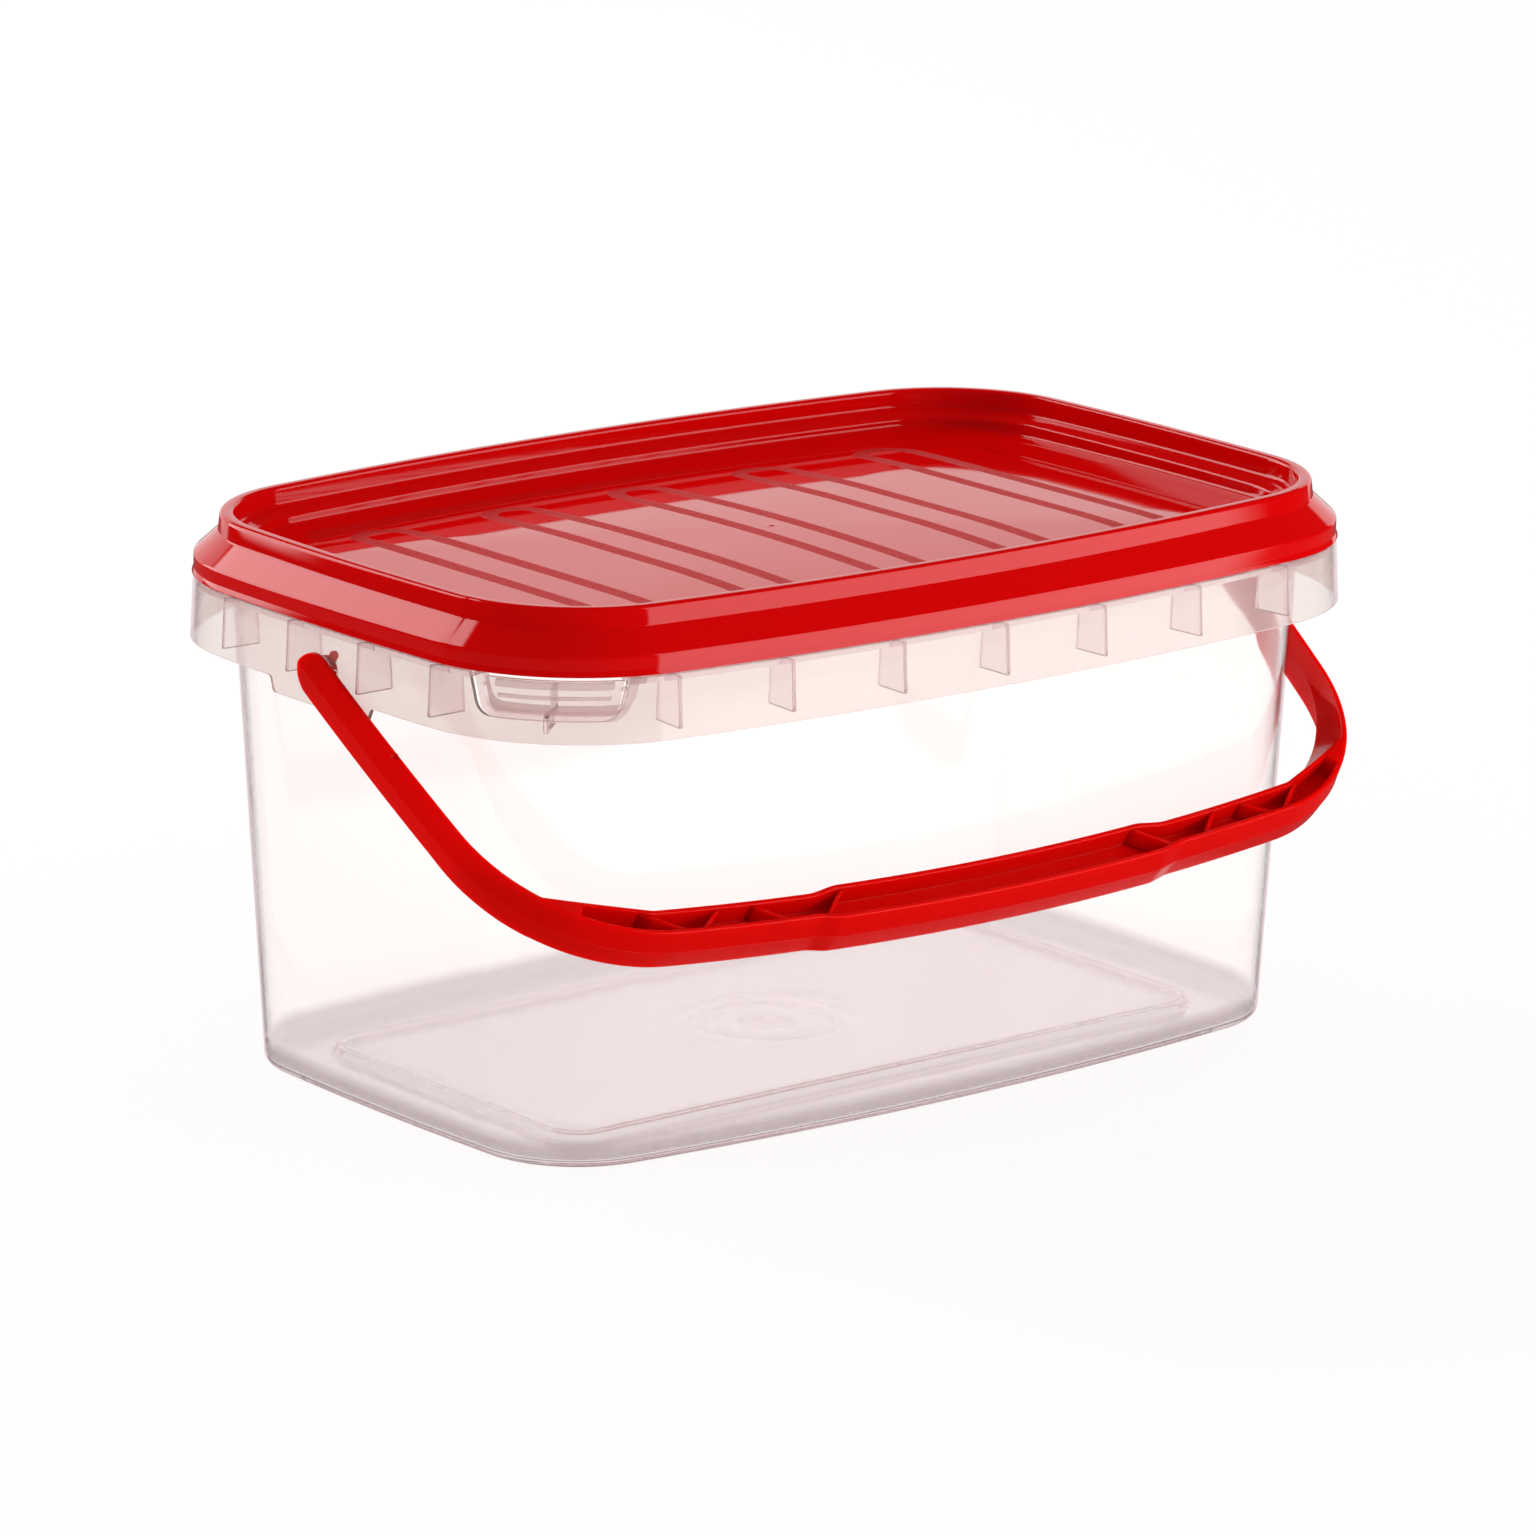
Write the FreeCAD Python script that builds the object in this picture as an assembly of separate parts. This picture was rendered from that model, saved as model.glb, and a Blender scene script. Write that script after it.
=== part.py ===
import FreeCAD, Part
import os
from math import acos, asin, atan2, cos, degrees, hypot, pi, radians, sin, sqrt, tan
from FreeCAD import Vector

# A rectangular food tub with a snap lid, a tamper skirt round the rim and a bail handle.
# Millimetres. +Z is up, the long side runs along X, and the origin is the centre of the foot.

# Heights above the floor
lid_foot_z = 97.0
pivot_z = 88.4

# Outline at the lid's lower edge: bowed sides with tangent corner arcs
rim_half_long = 106.5
rim_half_wide = 70.9
rim_corner = 34.5
rim_bow_long = 9.2
rim_bow_short = 3.46

# Tub wall, floor and raised centre of the floor. Insets count inward from that outline.
wall = 1.0
wall_inset = 7.4
foot_inset = 13.0
floor_thickness = 1.1
floor_band = 8.0
foot_edge = 1.6
inner_edge = 1.2
push_up_half_long = 77.2
push_up_half_wide = 38.3
push_up_corner = 6.0
push_up_height = 2.1
push_up_overlap = 0.3
gate_disc_radius = 12.4
gate_disc_depth = 0.3

# Rim wall with its snap lip, flange and tamper skirt. Heights count from the lid's lower edge.
rim_wall_inset = 6.15
rim_wall_thickness = 0.8
rim_wall_height = 10.3
lip_inset = 1.8
lip_top = 3.4
lip_thickness = 0.8
lip_hook_width = 0.7
lip_hook_drop = 1.8
flange_top = -0.35
flange_thickness = 1.25
skirt_inset = -0.1
skirt_flare = 0.65
skirt_bottom = -12.4
skirt_thickness = 0.9
rib_bottom = -10.8
rib_thickness = 0.9
long_side_ribs = (0.0, 24.5, 49.7, 74.3)
short_side_ribs = (11.1, 32.7)

# Ears at the short sides that carry the bail
ear_bottom = -15.3
ear_half_top = 16.0
ear_half_bottom = 14.8
pivot_clearance = 0.08
wing_clearance = 0.35

# Tear tab and its U-shaped ledge, on the corner between the front and the left side
notch_bearing = 225.0
notch_half_top = 14.7
notch_half_bottom = 12.9
notch_corner = 3.2
notch_bottom = -8.1
notch_run = 12.0
notch_rise = 0.3
ledge_thickness = 0.95
short_rib_bottom = -10.6
tab_half_top = 12.7
tab_half_bottom = 11.5
tab_top = -0.7
tab_bottom = -6.85
tab_thickness = 0.9
tab_corner = 1.6
bridge_height = -2.3
bridge_size = 0.6
bridge_gap = 0.12
bridge_recess = 0.15
# Each rib on the tab's back has a half length, a low and a high height and a depth.
tab_ribs = ((10.8, -2.5, -1.3, 1.3), (10.3, -4.4, -3.8, 0.7), (0.5, -6.75, -2.0, 3.0))

# Lid: wall thickness, the three rings of its outside and the steps of its inside
band_height = 3.7
bead_foot_inset = 4.65
bead_foot_height = 8.0
bead_top_inset = 5.1
lid_height = 11.7
panel_inset = 12.0
panel_edge_height = 1.9
panel_crown_height = 4.8
panel_thickness = 1.0

# Bail. Reach counts from the pivot axis, and heights from the parting plane.
bail_rest_angle = 33.5
bail_half_span = 110.1
bail_arm_radius = 790.0
bail_corner = 36.9
bail_corner_x = 70.6
bail_corner_reach = 43.5
arm_thickness = 1.6
arm_above = 4.8
arm_below = 4.15
arm_start = -5.0
arm_end_centre = 1.1
span_above = 4.8
span_below = 4.6
growth_start = 44.0
growth_end = 62.0
# The span and the grip bow about one centre. Each face steps between two half widths.
span_outer_radius = 646.0
span_inner_radius = 638.9
grip_outer_radius = 646.85
grip_inner_radius = 637.7
outer_step = (44.3, 40.1)
inner_step = (42.9, 37.3)
# The inner wall leaves the strap at an angle, passes a place and ends its bend at a half width.
inner_wall_angle = 38.0
inner_wall_via = (89.3, 68.3)
inner_wall_bend = 78.0
pocket_half_length = 92.0
bail_draft = 0.6
bail_web = 1.2
bail_wall = 1.0
bail_rib = 0.8
bail_rib_recess = 0.4
# Each rib runs from a place on the inner wall to a place on the outer wall.
bail_ribs = ((35.3, 43.5), (58.5, 49.9), (62.2, 71.6), (81.6, 71.6))

# Pivot studs of the bail
stud_radius = 3.0
stud_inner_x = 104.4
stud_collar_radius = 3.6
stud_collar_x = 107.6
wing_length = 5.3
wing_width = 2.6
wing_thickness = 1.1

far = 300.0


def outline_of(half_long, half_wide, corner, bow_long, bow_short):
    # A bowed rectangle as eight arcs of centre x, centre y, radius and two angles, anticlockwise
    # from the +X side. A corner arc touches both side arcs from inside, so its centre lies where
    # circles of the side radii less the corner radius cross.
    long_radius = (half_long ** 2 + bow_long ** 2) / (2 * bow_long)
    short_radius = (half_wide ** 2 + bow_short ** 2) / (2 * bow_short)
    long_centre = half_wide - long_radius
    short_centre = half_long - short_radius
    reach_long = long_radius - corner
    reach_short = short_radius - corner
    gap = hypot(short_centre, long_centre)
    along = (reach_long ** 2 - reach_short ** 2 + gap ** 2) / (2 * gap)
    across = sqrt(reach_long ** 2 - along ** 2)
    unit_x = short_centre / gap
    unit_y = -long_centre / gap
    x = along * unit_x + across * unit_y
    y = long_centre + along * unit_y - across * unit_x
    low = atan2(y, x - short_centre)
    high = atan2(y - long_centre, x)
    return [
        (short_centre, 0, short_radius, -low, low),
        (x, y, corner, low, high),
        (0, long_centre, long_radius, high, pi - high),
        (-x, y, corner, pi - high, pi - low),
        (-short_centre, 0, short_radius, pi - low, pi + low),
        (-x, -y, corner, pi + low, pi + high),
        (0, -long_centre, long_radius, pi + high, 2 * pi - high),
        (x, -y, corner, 2 * pi - high, 2 * pi - low),
    ]


rim = outline_of(rim_half_long, rim_half_wide, rim_corner, rim_bow_long, rim_bow_short)
right_side, right_back, back_side, left_back, left_side, left_front, front_side, right_front = rim


def on_arc(arc, inset, angle, z):
    x, y, radius, start, end = arc
    return Vector(x + (radius - inset) * cos(angle), y + (radius - inset) * sin(angle), z)


def ring(outline, inset, z):
    # The outline moved inward, as a closed wire at one height
    edges = []
    for arc in outline:
        start, end = arc[3:]
        points = [on_arc(arc, inset, angle, z) for angle in (start, (start + end) / 2, end)]
        edges.append(Part.Arc(*points).toShape())
    return Part.Wire(edges)


def prism(outline, inset, low, high):
    return Part.Face(ring(outline, inset, low)).extrude(Vector(0, 0, high - low))


def section_points(section):
    # A closed section of inset, height and an optional edge break, which becomes a flat as wide
    # as the chord of a round of that radius
    points = []
    for index, point in enumerate(section):
        corner = Vector(point[0], point[1], 0)
        if len(point) == 2:
            points.append(corner)
            continue
        before = Vector(*section[index - 1][:2], 0) - corner
        after = Vector(*section[(index + 1) % len(section)][:2], 0) - corner
        before.normalize()
        after.normalize()
        cut_back = point[2] / tan(before.getAngle(after) / 2)
        points += [corner + before * cut_back, corner + after * cut_back]
    return points


def section_face(section, place):
    points = [place(point) for point in section_points(section)]
    return Part.Face(Part.makePolygon(points + points[:1]))


def carried(section, arcs):
    # A section of inset and height carried round the arcs of the rim and joined
    spans = []
    for arc in arcs:
        start, end = arc[3:]
        face = section_face(section, lambda p: on_arc(arc, p.x, start, lid_foot_z + p.y))
        spans.append(face.revolve(Vector(arc[0], arc[1], 0), Vector(0, 0, 1), degrees(end - start)))
    if len(spans) == 1:
        return spans[0]
    return spans[0].multiFuse(spans[1:]).removeSplitter()


def skirt_face(height):
    # Inset of the skirt's outer face, which flares out toward its lower edge
    return skirt_inset - skirt_flare * (flange_top - height) / (flange_top - skirt_bottom)


def wall_face(height):
    # Inset of the tub wall's outer face, which the draft draws in toward the foot
    return wall_inset + (foot_inset - wall_inset) * (flange_top - height) / (flange_top + lid_foot_z)


def wall_section():
    # Up the outside from the floor's underside, and down the inside to the floor's upper face.
    # The edge at the foot and the one inside are broken in two flats.
    low = -lid_foot_z
    floor = low + floor_thickness
    outer_slant = foot_edge * (1 - sqrt(0.5))
    inner_slant = inner_edge * (1 - sqrt(0.5))
    return [
        (foot_inset + floor_band, low),
        (foot_inset + foot_edge, low),
        (foot_inset + outer_slant, low + outer_slant),
        (wall_face(low + foot_edge), low + foot_edge),
        (wall_inset, flange_top),
        (wall_inset + wall, flange_top),
        (wall_face(floor + inner_edge) + wall, floor + inner_edge),
        (wall_face(floor) + wall + inner_slant, floor + inner_slant),
        (wall_face(floor) + wall + inner_edge, floor),
        (foot_inset + floor_band, floor),
    ]


def tub_shell():
    floor = prism(rim, foot_inset + floor_band, 0, floor_thickness)
    return carried(wall_section(), rim).fuse(floor)


def rounded_block(half_long, half_wide, corner, low, high):
    block = Part.makeBox(2 * half_long, 2 * half_wide, high - low, Vector(-half_long, -half_wide, low))
    upright = [e for e in block.Edges if e.BoundBox.ZLength > (high - low) / 2]
    return block.makeFillet(corner, upright)


def with_raised_floor(tub):
    # The middle of the floor is pushed up at full wall thickness, so the foot is a flat band round it.
    long, wide, corner = push_up_half_long, push_up_half_wide, push_up_corner
    top = floor_thickness + push_up_height
    raised = rounded_block(long + wall, wide + wall, corner + wall, push_up_overlap, top)
    hollow = rounded_block(long, wide, corner, -1, push_up_height)
    gate = Part.makeCylinder(gate_disc_radius, gate_disc_depth, Vector(0, 0, push_up_height))
    return tub.fuse(raised).cut(hollow).cut(gate)


def rim_section():
    # Tamper skirt, flange, snap lip and rim wall in one closed section
    flange_foot = flange_top - flange_thickness
    rim_inner = rim_wall_inset + rim_wall_thickness
    lip_foot = lip_top - lip_thickness
    hook_foot = lip_top - lip_hook_drop
    hook_inner = lip_inset + lip_hook_width
    into_wall = wall_inset + wall / 2
    return [
        (skirt_face(flange_top), flange_top),
        (rim_wall_inset, flange_top),
        (rim_wall_inset, lip_foot),
        (hook_inner, lip_foot),
        (hook_inner, hook_foot),
        (lip_inset, hook_foot),
        (lip_inset, lip_top),
        (rim_wall_inset, lip_top),
        (rim_wall_inset, rim_wall_height),
        (rim_inner, rim_wall_height),
        (rim_inner, flange_top),
        (into_wall, flange_top),
        (into_wall, flange_foot),
        (skirt_face(flange_foot) + skirt_thickness, flange_foot),
        (skirt_face(skirt_bottom) + skirt_thickness, skirt_bottom),
        (skirt_face(skirt_bottom), skirt_bottom),
    ]


def rib_plate(arc, angle, top, bottom):
    # A plate across the gap between wall and skirt, its ends sunk halfway into both
    section = [
        (skirt_face(top) + skirt_thickness / 2, top),
        (wall_face(top) + wall / 2, top),
        (wall_face(bottom) + wall / 2, bottom),
        (skirt_face(bottom) + skirt_thickness / 2, bottom),
    ]
    face = section_face(section, lambda p: on_arc(arc, p.x, angle, lid_foot_z + p.y))
    across = Vector(-sin(angle), cos(angle), 0) * rib_thickness
    plate = face.extrude(across)
    plate.translate(across * -0.5)
    return plate


def rib_plates():
    plates = []
    top = flange_top - flange_thickness / 2
    for arc, middle in ((back_side, pi / 2), (front_side, 3 * pi / 2)):
        for x in long_side_ribs:
            for side in (-1, 1) if x else (1,):
                lean = side * x / (arc[2] - rim_wall_inset)
                plates.append(rib_plate(arc, middle + lean, top, rib_bottom))
    for arc, middle in ((right_side, 0), (left_side, pi)):
        for y in short_side_ribs:
            for side in (-1, 1):
                lean = side * y / (arc[2] - rim_wall_inset)
                plates.append(rib_plate(arc, middle + lean, top, rib_bottom))
    return plates


def ears():
    # The skirt reaches further down at the middle of each short side.
    inner_top = skirt_bottom + 1
    section = [
        (skirt_face(inner_top), inner_top),
        (skirt_face(inner_top) + skirt_thickness, inner_top),
        (skirt_face(ear_bottom) + skirt_thickness, ear_bottom),
        (skirt_face(ear_bottom), ear_bottom),
    ]
    shape = [
        Vector(-far, -ear_half_top, lid_foot_z + inner_top),
        Vector(-far, ear_half_top, lid_foot_z + inner_top),
        Vector(-far, ear_half_top, lid_foot_z + skirt_bottom),
        Vector(-far, ear_half_bottom, lid_foot_z + ear_bottom),
        Vector(-far, -ear_half_bottom, lid_foot_z + ear_bottom),
        Vector(-far, -ear_half_top, lid_foot_z + skirt_bottom),
    ]
    window = Part.Face(Part.makePolygon(shape + shape[:1])).extrude(Vector(2 * far, 0, 0))
    return [carried(section, [arc]).common(window) for arc in (left_side, right_side)]


def keyholes():
    # A round pivot hole in each ear, with a slot toward the front that the stud's wing passes
    # when the bail hangs straight down
    hole_radius = stud_radius + pivot_clearance
    slot_length = wing_length + wing_clearance
    slot_width = wing_width + 2 * wing_clearance
    depth = rim_half_long - stud_inner_x + 4
    cutters = []
    for side in (-1, 1):
        start = Vector(side * (stud_inner_x - 1), 0, pivot_z)
        cutters.append(Part.makeCylinder(hole_radius, depth, start, Vector(side, 0, 0)))
        low_x = min(start.x, start.x + side * depth)
        slot_corner = Vector(low_x, -slot_length, pivot_z - slot_width / 2)
        cutters.append(Part.makeBox(depth, slot_length, slot_width, slot_corner))
    return cutters


def notch_place(u, height, out=0.0):
    # A place on the plane square to the corner's bearing, u along it and out beyond it
    x, y = left_front[:2]
    bearing = radians(notch_bearing)
    reach = rim_corner + out
    return Vector(
        x + reach * cos(bearing) - u * sin(bearing),
        y + reach * sin(bearing) + u * cos(bearing),
        lid_foot_z + height,
    )


def notch_prism(half_top, top, half_bottom, bottom, corner):
    # A trapezium run through the corner of the skirt along its bearing, its lower corners rounded
    course = (notch_place(0, 0) - notch_place(0, 0, notch_run)) * 3
    corners = [(-half_top, top), (half_top, top), (half_bottom, bottom), (-half_bottom, bottom)]
    points = [notch_place(u, height, notch_run) for u, height in corners]
    block = Part.Face(Part.makePolygon(points + points[:1])).extrude(course)
    if corner == 0:
        return block
    along = [e for e in block.Edges if e.BoundBox.ZMax < points[2].z + 0.01 and e.Length > 2.1 * half_bottom]
    return block.makeFillet(corner, along)


def corner_band(outer_shift, inner, low, high):
    # The space between the skirt's outer face, moved in by outer_shift, and an inset at the corner
    section = [
        (skirt_face(high) + outer_shift, high),
        (inner, high),
        (inner, low),
        (skirt_face(low) + outer_shift, low),
    ]
    return carried(section, [left_front])


def notch_slope():
    return (notch_half_top - notch_half_bottom) / (flange_top - notch_bottom)


def with_notch(tub):
    # The flange dips in a U round the tear tab, and the skirt is open inside the U.
    outer = notch_prism(notch_half_top, flange_top, notch_half_bottom, notch_bottom, notch_corner)
    inner = notch_prism(
        notch_half_top - ledge_thickness + notch_slope() * notch_rise,
        flange_top + notch_rise,
        notch_half_bottom - ledge_thickness + notch_slope() * ledge_thickness,
        notch_bottom + ledge_thickness,
        notch_corner - ledge_thickness,
    )
    opening = inner.common(corner_band(-2, rim_wall_inset, notch_bottom, flange_top + notch_rise))
    ledge_space = corner_band(0, wall_inset + wall / 2, notch_bottom - 1, flange_top)
    ledge = outer.cut(inner).common(ledge_space)
    rib_top = notch_bottom + ledge_thickness / 2
    short_rib = rib_plate(left_front, radians(notch_bearing), rib_top, short_rib_bottom)
    return tub.cut(opening).fuse([ledge, short_rib])


def make_tub():
    tub = with_raised_floor(tub_shell())
    tub = tub.fuse([carried(rim_section(), rim)] + rib_plates() + ears())
    for cutter in keyholes():
        tub = tub.cut(cutter)
    return with_notch(tub).removeSplitter()


def tab_rib(half, low, high, depth):
    bar = notch_prism(half, high, half, low, 0)
    return bar.common(corner_band(tab_thickness / 2, skirt_face(low) + tab_thickness + depth, low - 1, 0))


def tab_bridges():
    # Two thin bridges out to the sides of the U, which part when the tab is torn down
    half = notch_half_top - ledge_thickness - notch_slope() * (flange_top - bridge_height) - bridge_gap
    bar = notch_prism(half, bridge_height + bridge_size / 2, half, bridge_height - bridge_size / 2, 0)
    return bar.common(corner_band(bridge_recess, bridge_recess + bridge_size, bridge_height - 2, 0))


def make_tear_tab():
    # A plate in line with the skirt, with two level ribs and an upright one on its back
    plate_shape = notch_prism(tab_half_top, tab_top, tab_half_bottom, tab_bottom, tab_corner)
    plate = plate_shape.common(corner_band(0, 8, tab_bottom - 1, 0))
    plate = plate.cut(corner_band(tab_thickness, 9, tab_bottom - 2, 1))
    return plate.fuse([tab_rib(*rib) for rib in tab_ribs] + [tab_bridges()]).removeSplitter()


def lid_section():
    # The outside runs up the band, the chamfer and the bead. The inside steps down to the panel.
    # Under them lie the snap ridge, the channel for the rim wall and the underside of the panel.
    return [
        (-0.4, 0.0),
        (0.0, 1.1),
        (0.0, band_height, 0.8),
        (bead_foot_inset, bead_foot_height, 0.5),
        (bead_top_inset, lid_height, 0.9),
        (7.75, lid_height, 0.8),
        (8.2, 8.3, 0.5),
        (9.9, 6.9, 0.5),
        (10.9, 5.2),
        (panel_inset, panel_edge_height),
        (panel_inset, panel_edge_height - panel_thickness),
        (11.1, panel_edge_height - panel_thickness),
        (9.95, 5.0),
        (9.1, 6.25),
        (7.3, 7.6),
        (7.25, 10.6),
        (5.85, 10.6),
        (5.75, 7.6),
        (1.0, 3.35),
        (1.0, 1.3),
        (1.4, 1.1),
        (1.4, 0.5),
        (1.0, 0.3),
        (0.8, 0.0),
    ]


def lid_panel():
    # A gentle dome: its height falls off with the squares of the distances along both sides.
    half_long = rim_half_long - panel_inset
    half_wide = rim_half_wide - panel_inset
    crown = panel_crown_height - panel_edge_height
    dome = Part.BezierSurface()
    dome.increase(2, 2)
    # A parabola over its full width has end heights of 0 and a middle control height of 2.
    for row, (x, across) in enumerate(((-half_long, 0), (0, 2), (half_long, 0)), 1):
        for column, (y, along) in enumerate(((-half_wide, 0), (0, 2), (half_wide, 0)), 1):
            height = lid_foot_z + panel_edge_height + crown * across * along
            dome.setPole(row, column, Vector(x, y, height))
    plate = dome.toShape().extrude(Vector(0, 0, -panel_thickness))
    return plate.common(prism(rim, panel_inset - 0.4, lid_foot_z - 5, lid_foot_z + lid_height))


def make_lid():
    return carried(lid_section(), rim).fuse(lid_panel()).removeSplitter()


def bail_point(x, reach, height=0.0):
    return Vector(x, -reach, height)


def bail_arm_centre():
    # The arm is a long arc through the pivot end that touches the corner arc from outside of it,
    # so its centre is where circles about the pivot end and the corner's centre cross.
    gap = hypot(bail_half_span - bail_corner_x, bail_corner_reach)
    to_corner = bail_arm_radius - bail_corner
    along = (gap ** 2 + bail_arm_radius ** 2 - to_corner ** 2) / (2 * gap)
    across = sqrt(bail_arm_radius ** 2 - along ** 2)
    unit_x = (bail_corner_x - bail_half_span) / gap
    unit_reach = bail_corner_reach / gap
    return (
        bail_half_span + along * unit_x - across * unit_reach,
        along * unit_reach + across * unit_x,
    )


def arc_between(centre, radius, first, last, height):
    points = []
    for angle in (first, (first + last) / 2, last):
        points.append(bail_point(centre[0] + radius * cos(angle), centre[1] + radius * sin(angle), height))
    return Part.Arc(*points).toShape()


def mirrored(edges):
    # The other half of an open path, run on from its end at the middle
    flip = [edge.mirror(Vector(0, 0, 0), Vector(1, 0, 0)) for edge in edges]
    return edges + flip[::-1]


def arm_angles(inset):
    # Where the arm's arc starts, past the pivot, and where it meets the corner arc
    x, reach = bail_arm_centre()
    meet = atan2(bail_corner_reach - reach, bail_corner_x - x)
    return asin((arm_start - reach) / (bail_arm_radius - inset)), meet


def front_centre():
    # The centre of the span's and the grip's arcs, which touch the corner arc
    drop = sqrt((span_outer_radius - bail_corner) ** 2 - bail_corner_x ** 2)
    return (0, bail_corner_reach - drop)


def front_point(x, radius, height):
    return bail_point(x, front_centre()[1] + sqrt(radius ** 2 - x ** 2), height)


def corner_point(radius, angle, height):
    return bail_point(bail_corner_x + radius * cos(angle), bail_corner_reach + radius * sin(angle), height)


def front_edges(bend_angle, span, grip, step, height):
    # From the end of the bend along the span, up the step and along the grip to its middle
    span_x, grip_x = step
    return [
        arc_between(front_centre(), span, bend_angle, acos(span_x / span), height),
        Part.makeLine(front_point(span_x, span, height), front_point(grip_x, grip, height)),
        arc_between(front_centre(), grip, acos(grip_x / grip), pi / 2, height),
    ]


def bail_outer_path(inset, height):
    # From the end of one arm round the corner to the grip, and on to the other arm
    centre = (bail_corner_x, bail_corner_reach)
    start, meet = arm_angles(inset)
    tangent = atan2(bail_corner_reach - front_centre()[1], bail_corner_x)
    edges = [
        arc_between(bail_arm_centre(), bail_arm_radius - inset, start, meet, height),
        arc_between(centre, bail_corner - inset, meet, tangent, height),
    ]
    edges += front_edges(tangent, span_outer_radius - inset, grip_outer_radius - inset, outer_step, height)
    return mirrored(edges)


def bail_inner_path(inset, depth, height):
    # The strap's inner face at its depth, then the inner wall moved outward by the inset
    centre = (bail_corner_x, bail_corner_reach)
    start, meet = arm_angles(depth)
    radius = bail_corner - depth
    split = radians(inner_wall_angle)
    via = bail_point(inner_wall_via[0], inner_wall_via[1] + inset, height)
    span = span_inner_radius + inset
    bend = front_point(inner_wall_bend, span, height)
    edges = [
        arc_between(bail_arm_centre(), bail_arm_radius - depth, start, meet, height),
        arc_between(centre, radius, meet, split, height),
        Part.Arc(corner_point(radius, split, height), via, bend).toShape(),
    ]
    bend_angle = acos(inner_wall_bend / span)
    edges += front_edges(bend_angle, span, grip_inner_radius + inset, inner_step, height)
    return mirrored(edges)


def arm_tip(edges):
    # The end of the first arm on a path
    return max((vertex.Point for vertex in edges[0].Vertexes), key=lambda point: point.y)


def bail_ring(inset, height):
    outer = bail_outer_path(inset, height)
    inner = bail_inner_path(inset, arm_thickness, height)
    right = Part.makeLine(arm_tip(outer), arm_tip(inner))
    left = right.mirror(Vector(0, 0, 0), Vector(1, 0, 0))
    return Part.Wire(Part.sortEdges(outer + [left] + inner[::-1] + [right])[0])


def filled(edges, low, high):
    # The area inside an open path, closed across the arm ends, as a prism
    first = arm_tip(edges)
    last = Vector(-first.x, first.y, first.z)
    wire = Part.Wire(Part.sortEdges(edges + [Part.makeLine(first, last)])[0])
    solid = Part.Face(wire).extrude(Vector(0, 0, high - low))
    solid.translate(Vector(0, 0, low - first.z))
    return solid


def bail_half(height):
    # One half of the moulding, drafted away from the parting plane except on the strap's inner face
    return Part.makeLoft([bail_ring(0, 0), bail_ring(bail_draft, height)], True, True)


def bail_pockets(height):
    # Everything between the outer and inner walls beyond the web, apart from the zigzag ribs.
    # The inner path runs outside the outer one along the strap, where there is no pocket.
    inset = bail_draft + bail_wall
    low, high = sorted((height / abs(height) * bail_web / 2, 1.2 * height))
    outer = filled(bail_outer_path(inset, 0), low, high)
    inner = filled(bail_inner_path(inset, arm_thickness - inset, 0), low, high)
    window = Part.makeBox(2 * pocket_half_length, 60, 20, Vector(-pocket_half_length, -growth_start - 60, -10))
    rib_height = abs(height) - bail_rib_recess
    ribs = []
    for inner_x, outer_x in bail_ribs:
        for side in (-1, 1):
            ribs.append(bail_rib_plate(side * inner_x, side * outer_x, rib_height))
    return outer.cut(inner).common(window).cut(ribs)


def bail_rib_plate(inner_x, outer_x, height):
    # A plate through two places on the walls and on past both
    inner = front_point(inner_x, span_inner_radius, 0)
    course = front_point(outer_x, span_outer_radius, 0) - inner
    length = 3 * course.Length
    plate = Part.makeBox(length, bail_rib, 2 * height, Vector(-length / 3, -bail_rib / 2, -height))
    plate.rotate(Vector(0, 0, 0), Vector(0, 0, 1), degrees(atan2(course.y, course.x)))
    plate.translate(inner)
    return plate


def bail_side_view():
    # Height of the moulding along its reach, with the arms' ends rounded
    radius = (arm_above + arm_below) / 2
    end = Part.Arc(
        bail_point(-far, arm_end_centre, arm_above),
        bail_point(-far, arm_end_centre - radius, arm_above - radius),
        bail_point(-far, arm_end_centre, -arm_below),
    ).toShape()
    front = grip_outer_radius + front_centre()[1] + 5
    corners = [
        bail_point(-far, arm_end_centre, -arm_below),
        bail_point(-far, growth_start, -arm_below),
        bail_point(-far, growth_end, -span_below),
        bail_point(-far, front, -span_below),
        bail_point(-far, front, span_above),
        bail_point(-far, growth_end, span_above),
        bail_point(-far, growth_start, arm_above),
        bail_point(-far, arm_end_centre, arm_above),
    ]
    lines = [Part.makeLine(first, second) for first, second in zip(corners, corners[1:])]
    return Part.Face(Part.Wire([end] + lines)).extrude(Vector(2 * far, 0, 0))


def pivot_studs():
    # A stud through each ear, a collar outside it and a wing behind it, square to the arm
    root_x = bail_half_span - arm_thickness / 2
    half = wing_width / 2
    studs = []
    for side in (-1, 1):
        root = Vector(side * root_x, 0, 0)
        inward = Vector(-side, 0, 0)
        studs.append(Part.makeCylinder(stud_radius, root_x - stud_inner_x, root, inward))
        studs.append(Part.makeCylinder(stud_collar_radius, root_x - stud_collar_x, root, inward))
        low_x = min(side * stud_inner_x, side * (stud_inner_x + wing_thickness))
        blade = Part.makeBox(wing_thickness, wing_width, wing_length - half, Vector(low_x, -half, 0))
        tip = Part.makeCylinder(half, wing_thickness, Vector(low_x, 0, wing_length - half), Vector(1, 0, 0))
        studs += [blade, tip]
    return studs


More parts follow.
